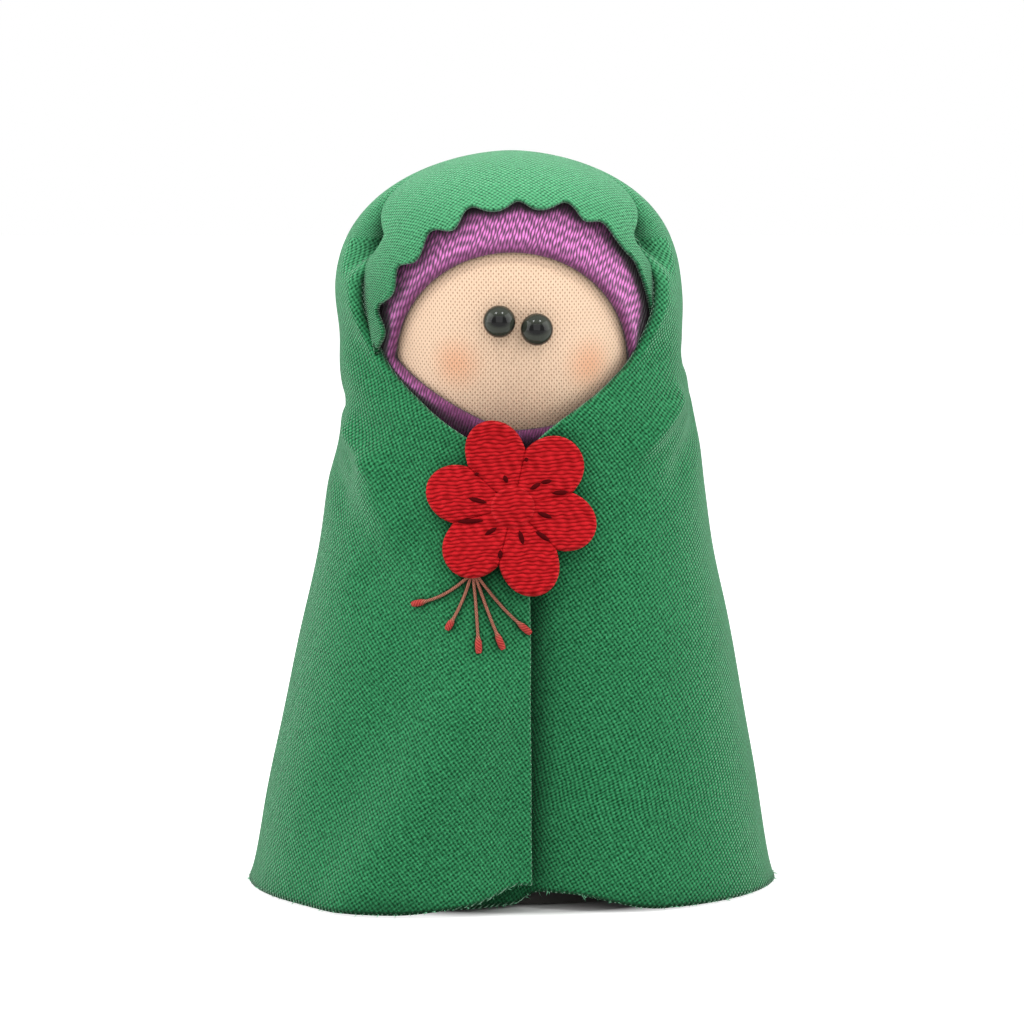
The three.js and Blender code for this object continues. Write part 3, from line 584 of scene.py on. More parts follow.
# painted shade: darker purple where the rim share is high
scarf_colour = mix_colour(tree, maths(tree, "MULTIPLY", rim, 0.75), scarf_colour, (0.11, 0.013, 0.075, 1))
# painted shade: the ambient-occlusion mask darkens the purple where the hood edge and the veil close over it
scarf_colour = mix_colour(tree, contact["Shade"], scarf_colour, (0.01, 0.002, 0.008, 1))
cover(tree, shader, scarf_colour, threads["Height"], 0.12)

scarf = make_piece("scarf_cap", flat_points, faces.tolist(), scarf_finish, scarf_place)
mark_points(scarf, "rim", rim_shade)
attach(scarf, "head")
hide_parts("under_scarf")


# Veil: one sheet of green ribbed cloth laid over the head. Its front edge is pinked in waves and lies
# on the scarf, the wings beside the face and the front panels are folded edges, and one panel laps
# the other down the front; only the flower holds it closed. The hem is a raw, lightly frayed cut.
crown_z = head_z + 21.25
waist_z = head_z - 9.45
hood_radius, hood_side_gap = 19.8, 2.1
wing_half_width, wing_half_depth = 22.15, 20.4
hem_half_width, hem_half_depth, hem_skew, skew_blend = 33.6, 24.3, 0.09, 9.0
slit_z = head_z + 10.4
open_top_z, open_bottom_z = head_z + 3.75, head_z - 18.15
wing_degrees, hood_free_degrees, hood_end_degrees = 66.5, 50.0, 84.0
lap_lift, lap_degrees, under_lap_degrees = 0.75, 5.0, 38.0
pinch_depth, pinch_z = 3.2, head_z - 15.25
cleft_depth, valley_sink, valley_degrees = 4.6, 4.4, 5.0
hug_depth, hug_degrees, hug_foot, hug_top = 1.4, 14, (59, 66), (68, 75)
lip_roll_degrees, lip_tail, hem_shift_degrees, grain_degrees = 165, 2.2, 1.9, -14
cloth_thickness, layer_gap, fold_radius = 0.6, 0.3, 23


def skirt_fall(z):
    """0 down to the waist, 1 at the floor."""
    return np.clip((waist_z - z) / waist_z, 0, 1)


def crown_rise(z):
    """0 up to the middle of the head, 1 at the crown."""
    return np.clip((z - head_z) / (crown_z - head_z), 0, 1)


def veil_halves(z):
    """Half the width and half the depth of the smooth form at a height."""
    rise = crown_rise(z)
    wide = wing_half_width * (1 - rise**2.9) ** (1 / 1.78) + (hem_half_width - wing_half_width) * skirt_fall(z)
    for middle, spread, swell in ((69.5, 4, -0.35), (43, 8, -0.5), (13, 7, 0.2)):
        wide = wide + swell * bell(z - middle, spread)
    deep = wing_half_depth * np.sqrt(1 - rise**2) + (hem_half_depth - wing_half_depth) * skirt_fall(z)
    return wide, deep


def eased(value, places, amounts, reach, steps):
    """Reads amounts off between places, with the corners rounded over a reach to each side."""
    return sum(np.interp(value + blend, places, amounts) for blend in np.linspace(-reach, reach, steps)) / steps


def veil_sway(z):
    """The draped sheet sits a little to one side at the neck and to the other at the crown."""
    heights = (0, 10, 20, 36, 52, 57, 60, 62, 64.4, 67, 72, 77, 82, 86, 93)
    offsets = (0, 0.05, 0.25, 0.5, 0.5, 0.75, 0.85, 0.8, 0.3, -0.1, -0.2, -0.5, -0.45, -0.3, -0.1)
    return eased(z, heights, offsets, 1.5, 9)


def veil_point(degrees, z, out):
    """Degrees run from the front towards the viewer's right."""
    wide, deep = veil_halves(z)
    turn = np.radians(degrees)
    across = (wide + out) * np.sin(turn)
    skew = hem_skew * skirt_fall(z) * np.clip(1.3 * np.abs(np.cos(turn)), 0, 1)
    leftward = (across - np.sqrt(across**2 + skew_blend**2)) / 2
    back = skew * leftward - (deep + out) * np.cos(turn)
    return stacked(across + veil_sway(z), back, z)


def veil_pinch(z):
    """How far the flower's stitches draw the front in."""
    drawn_in = fade(z, pinch_z, pinch_z + 16) * smooth_step(z, pinch_z - 27, pinch_z)
    return pinch_depth * drawn_in


# each soft fold: where it starts and ends (degrees, height), how proud and how wide it is
veil_folds = [
    ((-78, 60.2), (-42, 53), 1.2, 1.6),
    ((-104, 62.4), (-80, 61.2), -0.5, 1.3),
    ((-98, 58.5), (-58, 48), -0.8, 2.4),
    ((74, 64.6), (40, 55.8), 1.2, 1.6),
    ((104, 68), (82, 67), -0.5, 1.3),
    ((96, 63), (54, 51.5), -0.8, 2.4),
    ((-60, 57), (-34, 45), 1.3, 3.2),
    ((-54, 43), (-20, 33), -0.6, 3.6),
    ((-1, 33), (-36, 0), 1.5, 3.8),
    ((-21, 38), (-51, 6), -0.6, 4.0),
    ((150, 66), (140, 0), 1.0, 4.4),
    ((172, 64), (176, 0), -0.8, 4.0),
    ((-152, 66), (-140, 0), 0.9, 4.8),
    ((118, 40), (108, 0), -0.7, 4.8),
    ((-122, 36), (-112, 0), -0.8, 4.8),
]


def from_front(degrees):
    """Whether a spot is on the left half, and its degrees from the front, below zero to the left."""
    left = degrees > 180
    return left, np.where(left, degrees - 360, degrees)


def veil_out(degrees, z):
    """How far the sheet stands off its smooth form: the lapped front, the cleft and the folds."""
    left, turn = from_front(degrees)
    lapped = fade(z, open_bottom_z - 2, open_bottom_z + 6)
    near = fade(np.where(left, -turn, turn), 8, 46)
    low = 1 - np.clip(z / open_bottom_z, 0, 1)
    dive = (1.0 + 0.7 * (1 - low)) * bell(np.maximum(turn - 3, 0), 6)
    under = (0.35 + 0.3 * low) * fade(turn, 0, 8)
    out = lapped * np.where(left, lap_lift * near, -lap_lift * near - dive - under)
    out = out - cleft_depth * low**0.8 * bell(turn - lap_degrees, np.where(left, 13, 16))
    out = out - veil_pinch(z) * np.clip(np.cos(np.radians(turn)), 0, 1) ** 2
    out = out + 0.45 * np.exp(-z / 1.6) * smooth_step(np.abs(turn), 20, 60)
    around = np.radians(turn) * fold_radius
    for (top_degrees, top_z), (foot_degrees, foot_z), rise, width in veil_folds:
        run = np.array([math.radians(foot_degrees - top_degrees) * fold_radius, foot_z - top_z])
        length = np.linalg.norm(run)
        run /= length
        from_top = around - math.radians(top_degrees) * fold_radius
        along = (from_top * run[0] + (z - top_z) * run[1]) / length
        off = from_top * run[1] - (z - top_z) * run[0]
        ends = smooth_step(along, 0, 0.25)
        if foot_z > 0:  # it dies out before the hem
            ends = ends * fade(along, 0.7, 1.1)
        out = out + rise * ends * bell(off, width)
    return out


def veil_edge(z, side):
    """Degrees from the front at which the folded wing and panel edges stand, on either side."""
    if side == "left":
        heights = (-18.15, -13.45, -11.15, -8.85, -6.25, -3.65, -1.35, 4.5, 10.4)
        degrees = (-lap_degrees, 20, 31.2, 40.5, 50, 57.5, 61.5, 63, wing_degrees)
    else:
        heights = (-18.15, -12.65, -11.05, -8.15, -5.05, -3.75, -2.05, 0.45, 4.5, 10.4)
        degrees = (-lap_degrees, 10.5, 17.5, 33.5, 48.2, 53.2, 56.5, 59.5, 63.5, wing_degrees)
    return eased(z - head_z, heights, degrees, 0.8, 5)


def hem_height(degrees):
    """How far the cut hem is off the floor; both panels lift a little where they lap."""
    left, turn = from_front(degrees)
    lapping = 0.9 * smooth_step(turn, -26, -9) + 2.3 * bell(turn - 2, 7)
    lapped = 1.8 * smooth_step(turn, 0, 7) * fade(turn, 13, 34)
    behind = 0.35 * (1 - np.cos(np.radians(turn) * 4)) * smooth_step(np.abs(turn), 100, 140)
    return 0.12 + np.where(left, lapping, lapped) + behind


def hood_point(degrees, z):
    """The layer that lies on the scarf between the two wings."""
    wide = veil_halves(z)[0] - hood_side_gap * fade(z, slit_z - 1, slit_z + 6)
    deep = hood_radius * np.sqrt(1 - crown_rise(z) ** 2)
    turn = np.radians(degrees)
    return stacked(wide * np.sin(turn) + veil_sway(z), -deep * np.cos(turn), z)


wave_length, wave_depth, edge_radius, pinked_radius = 6.0, 0.95, 19, 19.65
crown_rows, hood_rows, wing_rows, open_rows, skirt_rows = 60, 34, 40, 52, 90
hood_columns, outer_columns, lip_columns = 280, 260, 9
edge_turn = np.linspace(-hood_end_degrees, hood_end_degrees, 1600)
left_share = np.clip((2.5 - edge_turn) / 66, 0, 1.03)
right_share = np.clip((edge_turn - 10) / 66, 0, 1.03)
edge_fall = crown_z - 6.0 - 17.5 * (left_share**2.6 + right_share**3.4)
edge_fall -= 7.5 * smooth_step(-edge_turn, 55.5, 59.5) + 6.5 * smooth_step(edge_turn, 64.5, 69)
edge_fall = np.maximum(edge_fall, head_z - 5)
edge_reach = pinked_radius * np.sqrt(1 - crown_rise(edge_fall) ** 2)
edge_wide = hood_point(90.0, edge_fall)[:, 0] - veil_sway(edge_fall)
edge_degrees = np.degrees(np.arcsin(edge_reach * np.sin(np.radians(edge_turn)) / edge_wide))
edge_run = run_along(hood_point(edge_degrees, edge_fall))
station = np.linspace(0, edge_run[-1], hood_columns + 1)
station_degrees = np.interp(station, edge_run, edge_degrees)
station_z = np.interp(station, edge_run, edge_fall)
station_turn = np.interp(station, edge_run, edge_turn)
wave_phase = 2 * np.pi * (station - np.interp(4.5, edge_turn, edge_run)) / wave_length
wave = wave_depth * (2 * (0.5 + 0.5 * np.cos(wave_phase + 0.3 * np.sin(0.7 * wave_phase))) ** 1.4 - 1)
wave *= fade(-station_turn, 59, 61)
wave *= (1 - 0.75 * smooth_step(station_turn, 42, 52)) * fade(station_turn, 64.5, 67)
edge_slope = np.gradient(station_z, station)
wave_across = -wave * edge_slope
wave_up = wave * np.sqrt(np.clip(1 - edge_slope**2, 0.0, 1))

beyond = np.maximum(np.abs(station_degrees) - hood_free_degrees, 0)
end_degrees = np.where(station_degrees < 0, -station_degrees[0], station_degrees[-1])
squeeze = (wing_degrees - hood_free_degrees) / (end_degrees - hood_free_degrees)
front_degrees = station_degrees - np.sign(station_degrees) * beyond * (1 - squeeze)
back_share = np.linspace(0, 1, outer_columns + 1)
back_degrees = wing_degrees + (360 - 2 * wing_degrees) * back_share
ring_degrees = np.concatenate([front_degrees, back_degrees[1:]])

# crown, from the top down to where the wings part from the hood; a valley opens on each side
turn_ring = np.abs((ring_degrees + 180) % 360 - 180)
ring_heights = slit_z + (crown_z - 4.4 - slit_z) * fade(turn_ring, 30, wing_degrees)
crown_drop = np.linspace(0, 1, crown_rows)[:, None] ** 1.6
crown_heights = crown_z - (crown_z - ring_heights) * crown_drop
band = 9 + 22 * smooth_step(crown_heights, slit_z, crown_z)
winged = smooth_step(turn_ring, wing_degrees - band, wing_degrees + band)[..., None]
hood_part = hood_point(ring_degrees, crown_heights)
wing_part = veil_point(ring_degrees, crown_heights, veil_out(ring_degrees % 360, crown_heights))
crown_sheet = hood_part + winged * (wing_part - hood_part)
valley_depth = valley_sink * fade(crown_heights, slit_z + 0.5, slit_z + 9.5)
valley_middle = np.minimum(wing_degrees - 0.5 + 2.0 * (crown_heights - slit_z), 82)
valley = valley_depth * bell(turn_ring - valley_middle, valley_degrees)
ring_radians = np.radians(ring_degrees)
inward_ring = stacked(-np.sin(ring_radians), np.cos(ring_radians), 0.0)


def clear_of_scarf(sheet):
    """Lifts any spot of a sheet that would sink into the scarf back on to it."""
    from_head = sheet - head_middle
    least = head_radius + scarf_lift + scarf_thickness + cloth_thickness + layer_gap
    return head_middle + from_head * np.maximum(1, least / np.linalg.norm(from_head, axis=-1, keepdims=True))


crown_sheet = clear_of_scarf(crown_sheet + valley[..., None] * inward_ring)

# hood front, down to the pinked edge; its sides run on under the wings
down = np.linspace(0, 1, hood_rows)[:, None]
front_ring = crown_sheet[-1, : hood_columns + 1]
front_heights = front_ring[:, 2]
hood_heights = front_heights + (station_z - front_heights) * down
below_ring = front_heights - hood_heights
hood_degrees = front_degrees + (station_degrees - front_degrees) * smooth_step(below_ring, 0, 5)
edge_spots = stacked(np.radians(station_degrees) * edge_radius, station_z)
hood_spots = stacked(np.radians(hood_degrees) * edge_radius, hood_heights)
edge_away = np.linalg.norm(hood_spots[:, :, None] - edge_spots, axis=-1)
edge_nearest = edge_away.min(axis=2)
edge_weight = np.exp(-(edge_away**2 - edge_nearest[..., None] ** 2) / 0.7)
edge_weight *= bell(edge_nearest, 1.7)[..., None] / edge_weight.sum(axis=2, keepdims=True)
hood_degrees = hood_degrees + np.degrees(edge_weight @ wave_across / edge_radius)
hood_sheet = hood_point(hood_degrees, hood_heights + edge_weight @ wave_up)
hood_sheet += (front_ring - hood_sheet[0]) * fade(below_ring, 0, 6)[..., None]
hood_sheet = clear_of_scarf(hood_sheet)


def clear_of_torso(sheet):
    """Lifts any spot of a sheet that would sink into the stuffed body back on to it."""
    stuffed = np.interp(sheet[..., 2], side_heights, side_radii, right=0)
    reach = np.hypot(sheet[..., 0], sheet[..., 1] / torso_oval(sheet[..., 2]))
    lift = np.maximum(1, (stuffed + cloth_thickness + layer_gap) / reach)
    return sheet * stacked(lift, lift, 1.0)


# wings, back, front panels and skirt, with a rounded folded edge at each side
wing_levels = np.linspace(slit_z, open_top_z, wing_rows)
open_levels = np.linspace(open_top_z, open_bottom_z, open_rows)[1:]
levels = np.concatenate([wing_levels, open_levels, np.full(skirt_rows, open_bottom_z)])
levels_down = np.concatenate([np.zeros(len(levels) - skirt_rows), np.linspace(0, 1, skirt_rows + 1)[1:]])
lip_heights = [open_bottom_z, open_bottom_z + 5, open_top_z, slit_z - 4, slit_z]
lip_radius = np.interp(levels, lip_heights, [0.55, 0.55, 1.1, 1.2, 0.02])
back_ring = crown_sheet[-1, hood_columns:]
outer_rows = []
for z, drop, radius in zip(levels, levels_down, lip_radius):
    lip_degrees = math.degrees(radius / wing_half_depth)
    tucked = (under_lap_degrees - lap_degrees) * fade(z * (1 - drop), 1, 34)
    first = veil_edge(z, "right") - tucked + lip_degrees
    last = 360 - veil_edge(z, "left") - lip_degrees + hem_shift_degrees * drop**0.7
    degrees = first + (last - first) * back_share
    heights = z + (hem_height(degrees) - z) * drop
    hug = hug_depth * smooth_step(heights, *hug_foot) * fade(heights, *hug_top)
    beside_edge = bell(degrees - first, hug_degrees) + bell(last - degrees, hug_degrees)
    body = veil_point(degrees, heights, veil_out(degrees, heights) - hug * beside_edge)
    if not outer_rows:
        valley_wall = back_ring - body
    body = clear_of_torso(body + valley_wall * fade(slit_z - z, 0, 5.5))
    lips = []
    for end, towards in ((0, 1), (-1, -2)):
        tangent = body[end] - body[towards]
        tangent[2] = 0
        tangent = unit(tangent)
        outside = np.array([tangent[1], -tangent[0], 0]) * (1 if end == 0 else -1)
        outside *= np.sign(outside @ np.array([body[end][0], body[end][1], 0])) or 1
        roll = np.radians(np.linspace(0, lip_roll_degrees, lip_columns))[1:, None]
        curl = body[end] - radius * outside + radius * (outside * np.cos(roll) + tangent * np.sin(roll))
        tail = curl[-1] - tangent * (lip_tail * radius)
        lips.append(np.concatenate([curl, [tail]]))
    outer_rows.append(np.concatenate([lips[0][::-1], body, lips[1]]))
outer_sheet = np.array(outer_rows)


# the weave lies straight over the head, and hangs upright on the wings, panels and skirt
def over_head(sheet):
    span = wing_half_width + 1.0
    across = span * np.arcsin(np.clip(sheet[..., 0] / span, -1, 1))
    up = span * np.arctan2(sheet[..., 2] - head_z, -sheet[..., 1])
    grain = math.radians(grain_degrees)
    along_grain = across * math.sin(grain) + up * math.cos(grain)
    return stacked(across * math.cos(grain) - up * math.sin(grain), along_grain)


def hanging(sheet, way):
    """Flat places of a hanging half, measured round from its folded edge; way is 1 for the right half."""
    steps = np.linalg.norm(np.diff(sheet, axis=1), axis=2)
    around = np.concatenate([np.zeros((len(sheet), 1)), np.cumsum(steps, axis=1)], axis=1)
    fold = sheet[:, lip_columns : lip_columns + 1]
    beside = sheet[:, 30:31]
    reach = np.hypot(beside[..., 0], beside[..., 1])
    start = np.arctan2(fold[..., 0], -fold[..., 1]) * reach - way * around[:, lip_columns : lip_columns + 1]
    return stacked(start + way * around, sheet[..., 2])


outer_middle = lip_columns + outer_columns // 2
outer_right = outer_sheet[:, : outer_middle + 1]
outer_left = outer_sheet[:, outer_middle:][:, ::-1]
laid_patches = [
    (crown_sheet, over_head(crown_sheet), 1),
    (hood_sheet, over_head(hood_sheet), 1),
    (outer_right, hanging(outer_right, 1), 1),
    (outer_left, hanging(outer_left, -1), -1),
]
veil_points, veil_faces, veil_places = [], [], []
for sheet, place, way in laid_patches:
    first = sum(len(points) for points in veil_points)
    faces, corner_rows, corner_columns = grid_faces(*sheet.shape[:2], first)
    veil_places.append(place[corner_rows, corner_columns][:, ::way])
    veil_points.append(sheet.reshape(-1, 3))
    veil_faces.append(faces[:, ::way])

veil_finish, tree, shader = new_finish("green_ribbed_cloth", 0.9, 0.7, 0.08)
shader.inputs["Sheen Roughness"].default_value = 0.35
shader.inputs["Sheen Tint"].default_value = (0.6, 1.0, 0.72, 1)
weave = effect(tree, plain_weave, Pitch=0.66, Turn=0.175, Wander=0.4)
mottle = effect(tree, fibre_mottle)
contact = effect(tree, contact_shade, Reach=5 * MM, Full=0.42, Clear=0.9)
# painted top light and sheen: towards the crown the yarn turns a paler green and the weave holes fill in
painted_crown_light = map_range(tree, split_axes(tree, object_place(tree))["Z"], 70 * MM, 90 * MM)
yarn = mix_colour(tree, weave["Yarn"], (0.024, 0.24, 0.087, 1), (0.067, 0.415, 0.168, 1))
yarn = mix_colour(tree, maths(tree, "MULTIPLY", mottle["Slow"], 0.35), yarn, (0.036, 0.27, 0.108, 1))
yarn = mix_colour(tree, maths(tree, "MULTIPLY", painted_crown_light, 0.75), yarn, (0.16, 0.62, 0.30, 1))
uneven = maths(tree, "MULTIPLY", maths(tree, "SUBTRACT", weave["Yarn"], 0.5), 1.1)
filled = maths(tree, "ADD", weave["Height"], uneven)
filled = maths(tree, "ADD", filled, maths(tree, "MULTIPLY", painted_crown_light, 0.22))
veil_colour = mix_colour(tree, filled, (0.003, 0.045, 0.014, 1), yarn)
# painted shade: the ambient-occlusion mask darkens the green in valleys, the cleft and under the flower
veil_colour = mix_colour(tree, contact["Shade"], veil_colour, (0.001, 0.02, 0.006, 1))
cover(tree, shader, veil_colour, weave["Height"], 0.16)

veil = make_piece(
    "veil_sheet",
    np.concatenate(veil_points),
    np.concatenate(veil_faces).tolist(),
    veil_finish,
    np.concatenate(veil_places),
)
welded = bmesh.new()
welded.from_mesh(veil.data)
bmesh.ops.remove_doubles(welded, verts=welded.verts, dist=0.004 * MM)
bmesh.ops.dissolve_degenerate(welded, edges=welded.edges, dist=0.002 * MM)
welded.to_mesh(veil.data)
welded.free()
thicken = veil.modifiers.new("cloth_thickness", "SOLIDIFY")
thicken.thickness = cloth_thickness * MM
thicken.offset = -1
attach(veil, "torso")
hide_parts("veil")

# raw edges: short loose yarn ends along the hem and, fewer, along the pinked edge
rng = np.random.default_rng(7)
hem_yarns, edge_yarns = 620, 160


def fibre(root, way, length, radius, bend, shape=(1.02, 0.69, 0.35, 0.02), sides=3):
    """The points of one short thread; shape says how thick it is from its root to its tip."""
    share = np.linspace(0, 1, len(shape))[:, None, None]
    line = root + way * length * share + bend * (share**2)
    return line + spokes(way, (0.3, 0.2, 1.0), sides) * radius * np.array(shape)[:, None, None]


def fibre_piece(name, fibres, finish):
    steps, sides = fibres[0].shape[:2]
    starts = range(0, len(fibres) * steps * sides, steps * sides)
    faces = np.concatenate([grid_faces(steps, sides, first, closed=True)[0] for first in starts])
    return make_piece(name, np.concatenate(fibres), faces.tolist(), finish)


yarn_ends = []
hem_line = outer_sheet[-1, lip_columns : lip_columns + outer_columns + 1]
for _ in range(hem_yarns):
    spot = rng.uniform(0, outer_columns - 1)
    index = int(spot)
    root = hem_line[index] + (hem_line[index + 1] - hem_line[index]) * (spot - index)
    outside = np.array([root[0], root[1], 0]) / np.hypot(root[0], root[1])
    way = np.array([0, 0, -0.25]) + outside * rng.uniform(0.1, 0.8) + rng.normal(0, 0.55, 3) * [1, 1, 0.35]
    root = root - outside * rng.uniform(0, 0.5) + [0, 0, 0.12]
    length, radius = rng.uniform(0.25, 0.75), rng.uniform(0.05, 0.1)
    yarn_ends.append(fibre(root, unit(way), length, radius, rng.normal(0, 0.12, 3)))
for _ in range(edge_yarns):
    index = int(rng.uniform(30, hood_columns - 30))
    root = hood_sheet[-1, index]
    away = unit(root - hood_sheet[-4, index])
    way = unit(away + rng.normal(0, 0.5, 3))
    root = root - unit(root - head_middle) * rng.uniform(0.05, 0.45) - away * 0.1
    yarn_ends.append(fibre(root, way, rng.uniform(0.15, 0.4), 0.05, rng.normal(0, 0.08, 3)))

fray_finish, tree, shader = new_finish("frayed_green_yarn", 0.9, 0.3)
fray_tone = effect(tree, fibre_mottle)["Fast"]
cover(tree, shader, mix_colour(tree, fray_tone, (0.06, 0.36, 0.16, 1), (0.22, 0.62, 0.36, 1)))
fray = fibre_piece("veil_fray", yarn_ends, fray_finish)
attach(fray, "torso")


# Flower: a stiff red backing that carries padded petals and a round centre, each covered with laid
# satin thread. It is sewn through both front panels and is all that holds them together.
flower_low, flower_high = in_mm(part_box("flower_backing"))
flower_z = (flower_low[2] + flower_high[2]) / 2 - 0.9
centre_radius, backing_radius = 2.7, 6.6
petal_count, petal_notch, petal_root, petal_middle = 6, 7.2, 2.2, 6.8
petal_seat, petal_height, petal_crown, petal_free_edge = 0.55, 1.25, 0.15, (6.6, 8.2)
petal_turns = np.array([47.4, 108.9, 163.0, 227.4, 286.6, 342.7])
petal_reaches = (10.75, 11.05, 10.6, 10.6, 11.25, 10.2)


def chest_deep(z):
    """How far the drawn-in front stands before the doll's middle."""
    return veil_halves(z)[1] - veil_pinch(z)


chest_wide, chest_full = veil_halves(np.array(flower_z))
chest_bend = float(chest_wide**2 / chest_full)
lean_reach = 8.0
chest_fall = float(chest_deep(flower_z - lean_reach) - chest_deep(flower_z + lean_reach))
chest_lean = math.atan2(chest_fall, 2 * lean_reach)
flower_front = float(chest_deep(flower_z)) + lap_lift + 0.45
flower_across = float(veil_sway(flower_z)) * 0.2


def on_circle(turn):
    return stacked(np.cos(turn), np.sin(turn))


def on_chest(u, v, w):
    """A spot on the flower: u across, v up the chest, w outward from the veil."""
    rest = chest_deep(flower_z + v) - chest_deep(flower_z) + v * math.tan(chest_lean) - u**2 / (2 * chest_bend)
    out = w + rest
    across = u + w * np.sin(u / chest_bend)
    up = v * math.cos(chest_lean) + out * math.sin(chest_lean)
    back = v * math.sin(chest_lean) - out * math.cos(chest_lean)
    return stacked(across + flower_across, back - flower_front, up + flower_z)


def padded_patch(name, outline, middle, seat, height, crown, finish, free_edge=(-2, -1)):
    """A padded shape: threads laid over an outline, rounded where its rim is free."""
    rings, sides = 26, 120
    ray = on_circle(full_turn(sides))
    a = outline - middle
    b = np.roll(outline, -1, axis=0) - middle
    span = b - a
    cross_span = ray[:, None, 0] * span[None, :, 1] - ray[:, None, 1] * span[None, :, 0]
    cross_span = np.where(np.abs(cross_span) < 1e-9, 1e-9, cross_span)
    reach = (a[None, :, 0] * span[None, :, 1] - a[None, :, 1] * span[None, :, 0]) / cross_span
    along = (a[None, :, 0] * ray[:, None, 1] - a[None, :, 1] * ray[:, None, 0]) / cross_span
    good = (along >= -1e-6) & (along <= 1 + 1e-6) & (reach > 0)
    edge = np.where(good, reach, np.inf).min(axis=1)
    part = np.linspace(0.002, 1, rings)[:, None]
    bulge = np.concatenate([part, [[1.0]], [[0.93]]])
    outer = smooth_step(np.linalg.norm(middle + edge[:, None] * ray, axis=1), *free_edge)[None, :]
    round_width = 0.2 + 0.4 * outer
    rim = np.clip((bulge[:rings] * edge[None, :] - (edge[None, :] - round_width)) / round_width, 0, 1)
    lift = height * (1 - (0.12 + 0.5 * outer) * (1 - np.sqrt(1 - rim**2))) + crown * (1 - part**2)
    lift = np.concatenate([lift, np.full((1, sides), 0.12 * height), np.zeros((1, sides))])
    u = middle[0] + bulge * edge[None, :] * ray[None, :, 0]
    v = middle[1] + bulge * edge[None, :] * ray[None, :, 1]
    points = on_chest(u, v, seat + lift)
    faces, corner_rows, corner_columns = grid_faces(len(bulge), sides, closed=True)
    place = stacked(v, u)[corner_rows, corner_columns % sides]
    piece = make_piece(name, points, faces.tolist(), finish, place)
    mark_points(piece, "rim", np.concatenate([rim * outer, np.ones((2, sides))]))
    return piece


def red_thread_finish(name, pitch, turn, wander):
    finish, tree, shader = new_finish(name, 0.65, specular=0.04)
    threads = effect(tree, laid_threads, Pitch=pitch, Turn=turn, Wander=wander, Twist=1.3)
    rim = marked_share(tree, "rim")
    deep = mix_colour(tree, threads["Tone"], (0.21, 0.002, 0.003, 1), (0.34, 0.005, 0.007, 1))
    bright = mix_colour(tree, rim, (0.60, 0.014, 0.02, 1), (0.68, 0.036, 0.042, 1))
    laid = maths(tree, "MULTIPLY", threads["Height"], times_plus(tree, threads["Tone"], 0.7, 0.45))
    cover(tree, shader, mix_colour(tree, laid, deep, bright), threads["Height"], 0.11)
    return finish


petal_finish = red_thread_finish("red_satin_thread", 0.46, 0.06, 0.9)
backing_finish = red_thread_finish("red_backing_cloth", 0.9, 0.8, 0.3)

round_outline = on_circle(full_turn(72))
backing_outline = backing_radius * round_outline
backing = padded_patch("flower_back", backing_outline, np.zeros(2), 0.0, 0.5, 0.0, backing_finish)
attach(backing, "torso")
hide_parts("flower_backing")

for index in range(petal_count):
    before = (petal_turns[index] - petal_turns[index - 1]) % 360 / 2
    after = (petal_turns[(index + 1) % petal_count] - petal_turns[index]) % 360 / 2
    swing = np.linspace(-before, after, 80)
    share = np.abs(swing) / np.where(swing < 0, before, after)
    reach = petal_notch + (petal_reaches[index] - petal_notch) * (1 - share**2) ** 0.95
    reach = np.concatenate([[petal_root], reach, [petal_root]])
    swing = np.radians(petal_turns[index] + np.concatenate([[-before], swing, [after]]))
    outline = reach[:, None] * on_circle(swing)
    middle = petal_middle * on_circle(math.radians(petal_turns[index]))
    padding = (petal_seat, petal_height, petal_crown)
    petal = padded_patch(f"petal_{index + 1}", outline, middle, *padding, petal_finish, petal_free_edge)
    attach(petal, "torso")
    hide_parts(f"flower_petal_{index + 1}")

centre_outline = centre_radius * round_outline
flower_centre = padded_patch("flower_button", centre_outline, np.zeros(2), 0.6, 1.45, 0.3, petal_finish)
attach(flower_centre, "torso")
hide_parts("flower_centre")

# short dark stitches that hold the petals down round the centre
stitch_radius, stitch_lift, stitch_shape, stitch_sides = 0.29, 0.12, (0.1, 0.8, 1, 1, 0.8, 0.1), 8
stitches = [
    ((1.5, 6.1), (1.6, 5.6)), ((-1.0, 3.9), (-0.65, 3.0)), ((-4.2, 4.3), (-4.1, 3.9)),
    ((-5.1, 1.15), (-3.0, 0.55)), ((4.5, 3.3), (3.2, 3.0)), ((3.2, 3.0), (2.0, 2.2)),
    ((6.4, 1.9), (4.5, 1.75)), ((2.85, -0.65), (4.5, -1.3)), ((2.6, -2.95), (4.25, -4.15)),
    ((0.75, -2.85), (1.2, -4.6)), ((-1.4, -5.25), (-1.5, -6.3)), ((-1.85, -2.5), (-3.2, -3.4)),
    ((-6.4, -1.75), (-3.4, -1.65)),
]
stitch_finish, tree, shader = new_finish("dark_stitch_thread", 0.9, specular=0.04)
stitch_tone = effect(tree, fibre_mottle)["Fast"]
cover(tree, shader, mix_colour(tree, stitch_tone, (0.045, 0.001, 0.002, 1), (0.10, 0.003, 0.004, 1)))
stitch_threads = []
for ends in stitches:
    root, tip = on_chest(*np.transpose(ends), petal_seat + petal_height + stitch_lift)
    length = np.linalg.norm(tip - root)
    way = (tip - root) / length
    stitch_threads.append(fibre(root, way, length, stitch_radius, np.zeros(3), stitch_shape, stitch_sides))
stitched = fibre_piece("flower_stitches", stitch_threads, stitch_finish)
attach(stitched, "torso")


